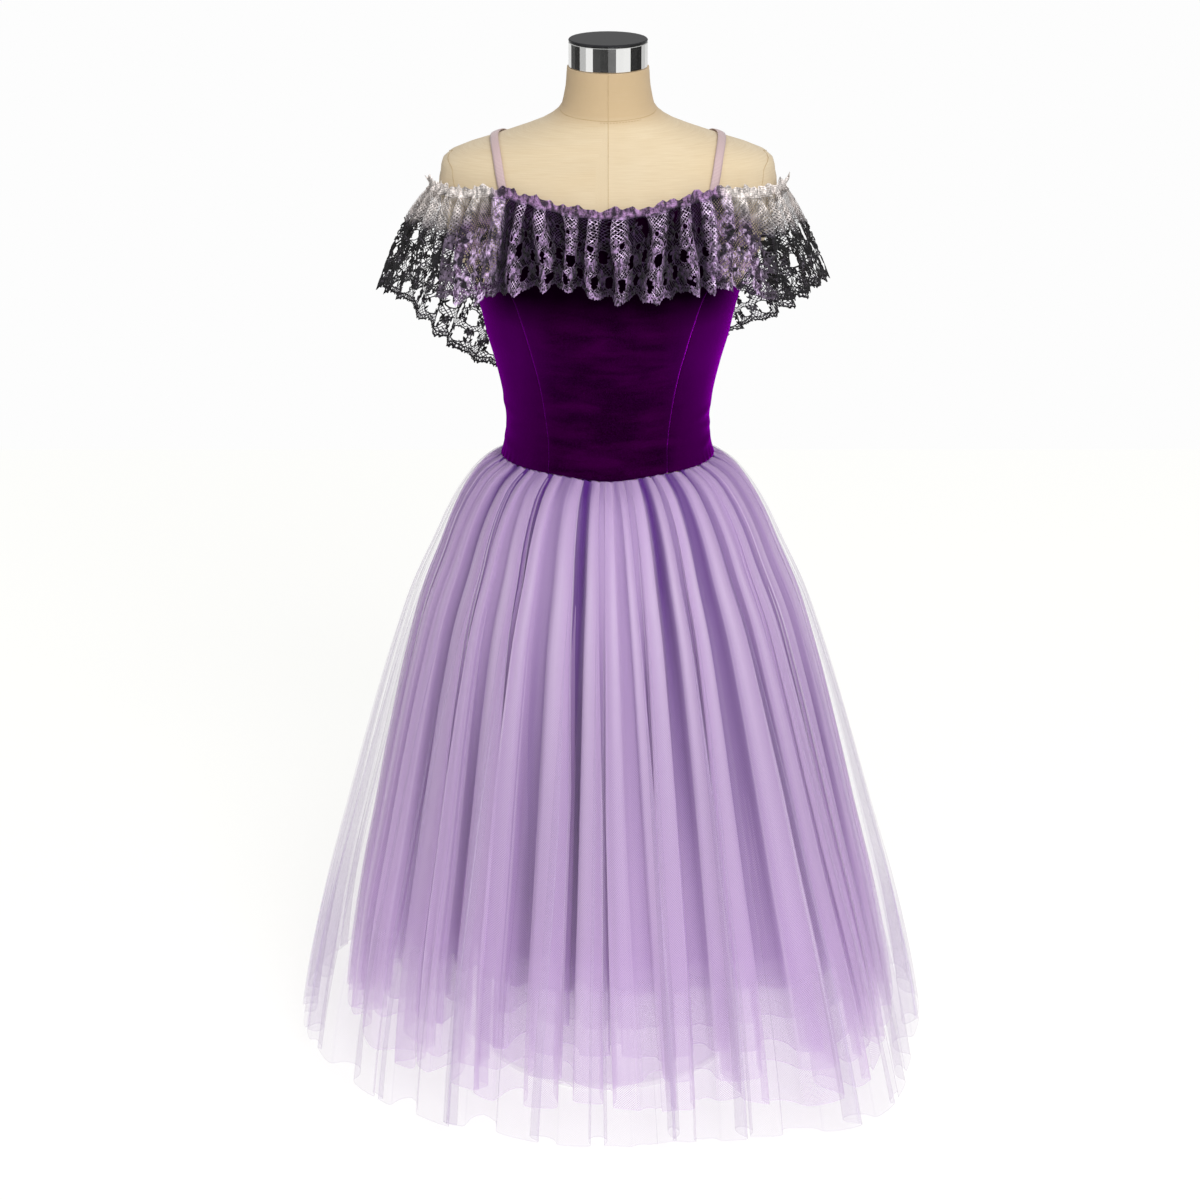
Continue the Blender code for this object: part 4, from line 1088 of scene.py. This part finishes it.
# The dyes on the flutes, the painted shade in the gaps and the tint on the rims, and how much a ply hides in
# each. A ply is denser in the gaps and painted darker there as shade; pale and dense at a fold's rim and at a
# raw edge, where the net is doubled and the pale tint is partly a painted highlight; and thin and pale near
# the hem, where its fullness spreads.
DYES_AND_PAINTED_SHADE = table(
    "ply light deep rim cover in_gaps on_rims",
    ("a veil", "#c8b8d4", "#6a4a90", "#d0c0e2", 0.10, 0.05, 0.28),
    ("b sheer", "#e6c8f4", "#5c2488", "#fdf8ff", 0.38, 0.78, 0.86),
    ("c soft", "#dab4ee", "#431668", "#ecdaf8", 0.46, 0.92, 0.74),
    ("d doubled", "#d2a6ea", "#300a54", "#e4ccf6", 0.76, 0.98, 0.88),
    ("e lining", "#cb9ae4", "#381060", "#cb9ae4", 1.00, 1.00, 1.00),
)
VEIL, SHEER, SOFT, DOUBLED, LINING = DYES_AND_PAINTED_SHADE
SPREAD_TINT, SPREAD_COVER = "#dccce4", 0.54
VEIL_SPREAD, VEIL_HEM_COVER = 0.2, 2.0

SKIRT_OUTLINE = table(
    "height half_width front back",
    (0.7670, 0.1316, 0.1018, 0.0928),
    (0.7560, 0.1485, 0.1190, 0.1125),
    (0.7310, 0.1705, 0.1400, 0.1350),
    (0.7060, 0.1857, 0.1540, 0.1510),
    (0.6550, 0.2095, 0.1765, 0.1765),
    (0.6050, 0.2330, 0.1975, 0.1975),
    (0.5280, 0.2602, 0.2225, 0.2225),
    (0.4230, 0.2922, 0.2520, 0.2520),
    (0.3150, 0.3225, 0.2810, 0.2810),
    (0.2050, 0.3534, 0.3095, 0.3095),
    (0.0930, 0.3788, 0.3340, 0.3340),
    (0.0360, 0.3885, 0.3440, 0.3440),
)
SKIRT_SWAY = 0.0045
CORNER_ANGLE, CORNER_HALF_ANGLE, CORNER_OUT, CORNER_DROP = 46.0, 17.0, 0.045, 0.012
SKIRT_BELOW_SEAM = 0.0014

# The gaps between the flutes across the front: how deep each is above and below, against the deepest, and
# which way the flute after it leans over its neighbour.
FRONT_GAPS = table(
    "angle upper lower lean",
    (-87.5, 0.60, 0.70, 0.3),
    (-76.0, 0.80, 0.90, -0.7),
    (-68.0, 0.30, 0.25, -0.5),
    (-58.5, 0.90, 1.00, 0.8),
    (-47.5, 0.80, 0.35, -0.3),
    (-41.5, 0.30, 1.00, 0.9),
    (-31.0, 1.00, 0.30, -0.8),
    (-23.0, 0.45, 1.00, 0.7),
    (-10.0, 1.00, 0.85, 0.6),
    (-2.5, 0.15, 0.60, -0.9),
    (4.0, 0.40, 0.20, 0.5),
    (9.5, 0.30, 0.90, -0.6),
    (18.0, 1.00, 0.45, 0.8),
    (25.0, 0.55, 1.00, -0.8),
    (33.0, 0.90, 0.70, 0.7),
    (44.5, 0.70, 0.95, 0.4),
    (52.0, 0.25, 0.25, -0.7),
    (60.5, 0.80, 0.70, -0.5),
    (70.5, 0.45, 0.95, 0.8),
    (83.5, 0.80, 0.80, -0.6),
)

# Each ply from the outside in: inset from the skirt's outline at the seam, half-way and at the hem, depth of
# its flutes likewise, the hem's height, how uneven that is, how far its gaps wander from the table's, and
# how far its flutes lap.
PLIES = (
    ("tulle_veil", VEIL, "tulle_outer", "skirt_tulle_outer",
     (0.0005, 0.0005, 0.0005), (0.003, 0.012, 0.026), 0.038, 0.008, 2.5, 1.0),
    ("tulle_top", SHEER, "tulle_outer", "skirt_tulle_outer",
     (0.0020, 0.0225, 0.0420), (0.007, 0.034, 0.052), 0.058, 0.022, 0.0, 1.1),
    ("tulle_second", SHEER, "tulle_middle", "skirt_tulle_middle",
     (0.0040, 0.0285, 0.0500), (0.006, 0.030, 0.046), 0.084, 0.016, 1.0, 1.1),
    ("tulle_third", SOFT, "tulle_middle", "skirt_tulle_middle",
     (0.0060, 0.0350, 0.0595), (0.005, 0.026, 0.040), 0.110, 0.014, 1.6, 1.0),
    ("tulle_fourth", SOFT, "tulle_inner", "skirt_tulle_inner",
     (0.0075, 0.0415, 0.0690), (0.003, 0.020, 0.032), 0.142, 0.010, 2.0, 0.9),
    ("tulle_fifth", DOUBLED, "tulle_inner", "skirt_tulle_inner",
     (0.0085, 0.0470, 0.0760), (0.002, 0.016, 0.026), 0.178, 0.010, 2.4, 0.8),
    ("tricot_lining", LINING, "lining", "skirt_lining",
     (0.0095, 0.0560, 0.0900), (0.001, 0.008, 0.014), 0.203, 0.001, 3.0, 0.2),
)
# The columns of points across a flute, in degrees from the gap before it: closest at the folds' edges, which
# show as fine pale lines on the outer plies.
FINE_COLUMNS = (0, 20, 40, 56, 70, 84, 97, 106, 112, 118, 128, 144, 162)
PLAIN_COLUMNS = (0, 22, 44, 64, 82, 98, 112, 126, 152)
# Rows of points from the hem up, closer together towards the seam, with one more just inside the raw edge.
ROWS, CLOSER_UP, EDGE_ROW = 40, 1.35, 0.997
GATHERS_A_FLUTE, GATHER_DEEP, GATHER_FADES = 2, 0.0036, 0.030
BILLOW = 0.0024
# How far a flute swings out over the gaps beside it and leans, as shares of its width, and how many degrees
# the gaps wander between the seam and the hem.
LOOP, LOOP_UNEVEN, LEAN, DRIFT = 0.118, 0.030, 0.30, 3.2
ASIDE_SHARE, ASIDE = 0.18, 0.004        # the inner plies hang a little to the wearer's left inside the veil
PLY_THICK, SEAM_PUCKER = 0.0004, 0.0009
# The painted shade of a point, apart from its gap: fine creases, the skirt's middle and the gathers at the
# seam.
CREASE_KNOTS, CREASE_SHADE = 4, 0.08
MIDDLE, MIDDLE_TALL, MIDDLE_SHADE = 0.45, 0.25, 0.12
SEAM_SHADE, SEAM_SHADE_FADES = 0.40, 0.014
# A sheer flute's crest carries a painted highlight; a rim's pale tint is partly painted highlight too.
RIM_PHASE, RIM_WIDE, HEM_RIM = math.radians(112.0), math.radians(8.0), 0.7
CREST_HIGHLIGHT, CREST_WIDE = 0.34, 0.55      # the pale line down the front of a sheer flute
SPREAD_FROM, SPREAD_TO = 0.74, 0.82     # of the way down, where the fullness spreads


def uneven(k, seed, speed=2.399):
    """A number from -1 to 1 that wanders with k."""
    return math.sin(speed * k + 1.7 * seed) * 0.6 + math.sin(1.618 * speed * k + 3.1 * seed) * 0.4


def dyed_and_shaded(dye, shade, rim, spread):
    """The tint and cover of a ply, from each point's painted shade, its rim and the spread hem."""
    shade = np.clip(shade, 0.0, 1.0)
    light, deep, edge, thin = (np.array(linear(colour)[:3])
                               for colour in (dye["light"], dye["deep"], dye["rim"], SPREAD_TINT))
    tint = light + (deep - light) * shade[..., None]
    tint += (edge - tint) * rim[..., None]
    tint += (thin - tint) * 0.5 * spread[..., None]
    cover = dye["cover"] + (dye["in_gaps"] - dye["cover"]) * shade
    cover = (cover + (dye["on_rims"] - cover) * rim) * (1.0 - (1.0 - SPREAD_COVER) * spread)
    if dye is VEIL:
        cover *= 1.0 + (VEIL_HEM_COVER - 1.0) * spread / VEIL_SPREAD
    return tint, cover


def ply(name, dye, slot, node, insets, depths, hem_height, hem_uneven, wander, lap, seed):
    """One gathered ply of the skirt, from the waist seam to its hem."""
    front = [(gap["angle"], gap["upper"], gap["lower"], gap["lean"]) for gap in FRONT_GAPS]
    gaps = front + [(180.0 - angle, *rest) for angle, *rest in reversed(front)]
    half_flute = FINE_COLUMNS if dye in (VEIL, SHEER) else PLAIN_COLUMNS
    flute = [*half_flute, 180, *(360 - degrees for degrees in reversed(half_flute[1:]))]
    columns = len(flute) * len(gaps)
    k = np.arange(columns) // len(flute)
    phase = np.radians(np.tile(flute, len(gaps)))
    starts = np.array([angle + wander * uneven(j, seed) for j, (angle, *_) in enumerate(gaps)])
    widths = np.diff(np.append(starts, starts[0] + 360.0))[k]

    def blend(values):
        """A value for each gap, blended across the flutes between them."""
        here, following = np.asarray(values)[k], np.roll(values, -1)[k]
        return here + (following - here) * phase / (2 * np.pi)

    every = range(len(gaps))
    upper, lower = blend([gap[1] for gap in gaps]), blend([gap[2] for gap in gaps])
    leans = np.array([gap[3] for gap in gaps])[k]
    loops = np.array([LOOP + LOOP_UNEVEN * uneven(j, seed) for j in every])[k] * lap
    drifts = blend([DRIFT * uneven(j, 9, 1.1) for j in every])
    dips = blend([uneven(j, seed + 4, 2.9) for j in every])
    in_gap = ((1 + np.cos(phase)) / 2) ** 1.7
    in_shade = ((1 + np.cos(phase - 0.75 * leans * np.sin(phase))) / 2) ** 1.2
    gathering = np.cos(GATHERS_A_FLUTE * phase + 2.0 * upper)
    leaning = np.clip(0.6 + 1.2 * np.where(phase > np.pi, leans, -leans), 0.2, 1.0)
    crest_highlight = np.exp(-((phase - np.pi + 0.6 * leans) / CREST_WIDE) ** 2)

    aside = insets[2] * ASIDE_SHARE + (0.0 if dye is VEIL else ASIDE)
    hang = (np.arange(ROWS, -1, -1) / ROWS) ** CLOSER_UP
    hang = np.insert(hang, 1, EDGE_ROW)
    # Fine creases run down each ply, in painted shade a little darker or paler: some 15 mm across and 0.25 m
    # long.
    knots = np.random.default_rng(40 + seed).uniform(-1.0, 1.0, (CREASE_KNOTS, columns))
    knots += 0.5 * (np.roll(knots, 1, axis=1) + np.roll(knots, -1, axis=1))
    at = hang * (len(knots) - 1)
    above = np.minimum(at.astype(int), len(knots) - 2)
    creases = knots[above] + (at - above)[:, None] * (knots[above + 1] - knots[above])

    points = np.empty((len(hang), columns, 3))
    shade, rim, spread = (np.empty((len(hang), columns)) for _ in range(3))
    for row, t in enumerate(hang):
        height = WAIST_HEIGHT - t * (WAIST_HEIGHT - hem_height)
        below_seam = WAIST_HEIGHT - height
        hung = below_seam / (WAIST_HEIGHT - SKIRT_OUTLINE[0]["height"])
        opened = min(1.0, 0.35 + 1.3 * t)
        depth_of_gap = upper + (lower - upper) * float(np.clip((t - 0.15) / 0.5, 0, 1))
        angle = (starts[k] + drifts * t ** 1.3 + widths * (
            phase / (2 * np.pi) + opened * (loops * np.sin(2 * phase) - 0.045 * np.sin(phase)
                                            + LEAN * leans * lap * (1 - np.cos(phase)) / 2)))
        gathers = GATHER_DEEP * math.exp(-below_seam / GATHER_FADES) * (0.5 + 0.5 * gathering)
        billow = BILLOW * t * np.sin(2.0 * phase + 7.0 * t + 4.0 * upper)
        inset, depth = (np.interp(t, (0, 0.5, 1), values) for values in (insets, depths))
        inset = inset + depth * depth_of_gap * in_gap + gathers + billow * 0.4
        around = np.radians(angle)
        corner = np.exp(-(((angle - CORNER_ANGLE + 180) % 360 - 180) / CORNER_HALF_ANGLE) ** 2) * hung ** 2
        out = CORNER_OUT * corner - inset
        half_width, to_front, to_back = (curve_of(SKIRT_OUTLINE, height, column)
                                         for column in ("half_width", "front", "back"))
        side = np.clip(np.cos(around) * 4 + 0.5, 0, 1)
        half_depth = to_front * side + to_back * (1 - side) + out
        top = waist(angle) - SKIRT_BELOW_SEAM - PLY_THICK * seed
        hem = hem_height + hem_uneven * dips - CORNER_DROP * corner
        points[row] = np.stack([(half_width + out) * np.sin(around) + SKIRT_SWAY * hung + aside * t,
                                -half_depth * np.cos(around), top + t * (hem - top)], axis=-1)
        in_seam = math.exp(-below_seam / SEAM_SHADE_FADES)
        # Painted shade: in the gaps, fading towards the hem, and at the creases, the middle and the seam's
        # gathers.
        shade[row] = (in_shade * depth_of_gap * (1.0 - 0.98 * t ** 1.15) + CREASE_SHADE * creases[row]
                      + MIDDLE_SHADE * math.exp(-((t - MIDDLE) / MIDDLE_TALL) ** 2)
                      + SEAM_SHADE * in_seam * (0.5 + 0.5 * gathering) ** 2)
        # A rim is denser where the net doubles, and its paler tint there is partly a painted highlight.
        on_rim = np.exp(-((np.minimum(phase, 2 * np.pi - phase) - RIM_PHASE) / RIM_WIDE) ** 2)
        rim[row] = on_rim * leaning * np.clip(1.6 * depth_of_gap, 0.3, 1.0) * min(1.0, 0.25 + 3.0 * t)
        if dye is SHEER:
            on_crest_highlight = crest_highlight * min(1.0, 6.0 * t) * max(0.0, 1.0 - 1.15 * t)
            rim[row] = np.maximum(rim[row], CREST_HIGHLIGHT * on_crest_highlight)
        low = np.clip((hung - SPREAD_FROM) / (SPREAD_TO - SPREAD_FROM), 0, 1)
        spread[row] = low * (0.56 + 0.44 * (1 + np.cos(phase)) / 2) * (1 - 0.55 * rim[row])
    # At the top the ply is caught into the seam, hard under the velvet's edge.
    points[-1] = body(angle, waist(angle) - SKIRT_BELOW_SEAM + SEAM_PUCKER * gathering,
                      BODICE_CLEAR + VELVET - PLY_THICK * seed)
    rim[0], spread[0] = HEM_RIM, 0.4 * spread[0]
    if dye is VEIL:
        spread *= VEIL_SPREAD
    tint, cover = dyed_and_shaded(dye, shade, rim, spread)

    step = np.linalg.norm(np.diff(points, axis=1, append=points[:, :1]), axis=2)
    fall = np.linalg.norm(np.diff(points, axis=0), axis=2)
    wide, long = float(step[0].sum()), float(fall.sum(axis=0).mean())
    across = (np.cumsum(step[0]) - step[0])[None, :] + np.zeros((len(hang), 1))
    uv = np.stack([across, np.broadcast_to((1 - hang)[:, None] * long, across.shape)], axis=-1)
    material = tricot if dye is LINING else nylon_tulle
    piece = surface(name, points, material, around=True, uv=uv, tint=tint, cover=cover)
    fasten(piece, slot, node)


for seed, row in enumerate(PLIES):
    ply(*row, seed)

# ---------------------------------------------------------------------------------------------------------
# The room: a plain white floor 4.6 m square, an even white surround, and a large soft light from above the
# front on the wearer's left.
# ---------------------------------------------------------------------------------------------------------

FLOOR_HALF = 2.3
floor_mesh = bpy.data.meshes.new("studio_floor")
floor_mesh.from_pydata([(FLOOR_HALF * x, FLOOR_HALF * y, 0) for x, y in ((-1, -1), (1, -1), (1, 1), (-1, 1))],
                       [], [(0, 1, 2, 3)])
paint, tree, shader = new_material("white_floor_paint", Roughness=0.9, Base_Color=linear("#a0a09e"),
                                   Specular_IOR_Level=0.1, Emission_Color=linear("#fffffd"),
                                   Emission_Strength=0.72)
floor_mesh.materials.append(paint)
put("studio_floor", floor_mesh)

# The surround is white to look at. It lights the figure more from the front and above than from the sides,
# and past the floor's edge it has the tall dark and bright stretches of a studio, for the chrome to mirror.
STUDIO_WALLS = table(
    "turn bright",
    (0.000, 0.03), (0.034, 0.03), (0.042, 0.60), (0.060, 0.90), (0.165, 1.00), (0.178, 0.85), (0.188, 0.02),
    (0.330, 0.02), (0.345, 0.75), (0.590, 0.90), (0.640, 0.25), (0.655, 0.03), (0.775, 0.03), (0.785, 1.00),
    (0.850, 1.00), (0.870, 0.35), (0.893, 0.05), (0.999, 0.03),
)
# How bright it is from the front to the back, and from the horizon up: each from and to, then as bright as.
BY_DEPTH, BY_HEIGHT = (-0.9, 0.5, 1.0, 0.62), (0.0, 0.7, 0.55, 0.95)
HORIZON = 0.02
world = bpy.data.worlds.new("white_surround")
bpy.context.scene.world = world
world.use_nodes = True
tree = world.node_tree
way = add_node(tree, "ShaderNodeTexCoord").outputs["Generated"]
turned = add_node(tree, "ShaderNodeMapping", {"Vector": way, "Rotation": (0.0, 0.0, math.radians(-90.0))})
azimuth = add_node(tree, "ShaderNodeTexGradient", {"Vector": turned.outputs["Vector"]},
                   gradient_type="RADIAL")
walls = add_node(tree, "ShaderNodeValToRGB", {"Fac": azimuth.outputs["Fac"]})
for stop in STUDIO_WALLS[1:-1]:
    walls.color_ramp.elements.new(stop["turn"])
for element, stop in zip(walls.color_ramp.elements, STUDIO_WALLS):
    element.position = stop["turn"]
    element.color = (stop["bright"], stop["bright"], stop["bright"], 1.0)
along = add_node(tree, "ShaderNodeSeparateXYZ", {"Vector": way})
forward, upper = (
    add_node(tree, "ShaderNodeMapRange", {"Value": along.outputs[axis], 1: start, 2: end, 3: first, 4: last})
    for axis, (start, end, first, last) in (("Y", BY_DEPTH), ("Z", BY_HEIGHT)))
light = add_node(tree, "ShaderNodeMath", {0: forward.outputs[0], 1: upper.outputs[0]}, operation="MULTIPLY")
above = add_node(tree, "ShaderNodeMapRange", {"Value": along.outputs["Z"], 1: -HORIZON, 2: HORIZON})
seen = add_node(tree, "ShaderNodeMix", {0: above.outputs[0], 6: walls.outputs["Color"], 7: light.outputs[0]},
                data_type="RGBA")
looked_at = add_node(tree, "ShaderNodeLightPath").outputs["Is Camera Ray"]
shown = add_node(tree, "ShaderNodeMix", {0: looked_at, 6: seen.outputs[2], 7: linear("#fdfdfd")},
                 data_type="RGBA")
feed(tree, tree.nodes["Background"], Color=shown.outputs[2])


def soft_light(name, place, aim, wide, power):
    """A square light of a width in metres and a power in watts, aimed at a point."""
    lamp = bpy.data.lights.new(name, "AREA")
    lamp.size = wide
    lamp.energy = power
    held = put(name, lamp)
    held.location = place
    held.rotation_euler = (mathutils.Vector(place) - mathutils.Vector(aim)).to_track_quat("Z", "Y").to_euler()


# A small light low inside the skirt keeps the floor under it as white as the rest.
soft_light("light_under_skirt", (0.0, 0.0, 0.19), (0.0, 0.0, 0.0), 0.34, 0.35)
soft_light("key_light", (0.9, -2.9, 3.0), (0.0, 0.0, 0.8), 1.4, 70.0)

bpy.context.scene.view_settings.view_transform = "Standard"
bpy.context.scene.cycles.transparent_max_bounces = 20

# The camera stands 3.2 m in front, higher than the dress form, and looks down on it.
CAMERA_PLACE, CAMERA_DOWN = (-0.009, -3.18, 1.832), 21.5
camera = bpy.data.cameras.new("camera")
camera.lens, camera.sensor_width = 85.8, 36.0
viewer = put("camera", camera)
viewer.location = CAMERA_PLACE
viewer.rotation_euler = (math.radians(90.0 - CAMERA_DOWN), 0.0, 0.0)
bpy.context.scene.camera = viewer
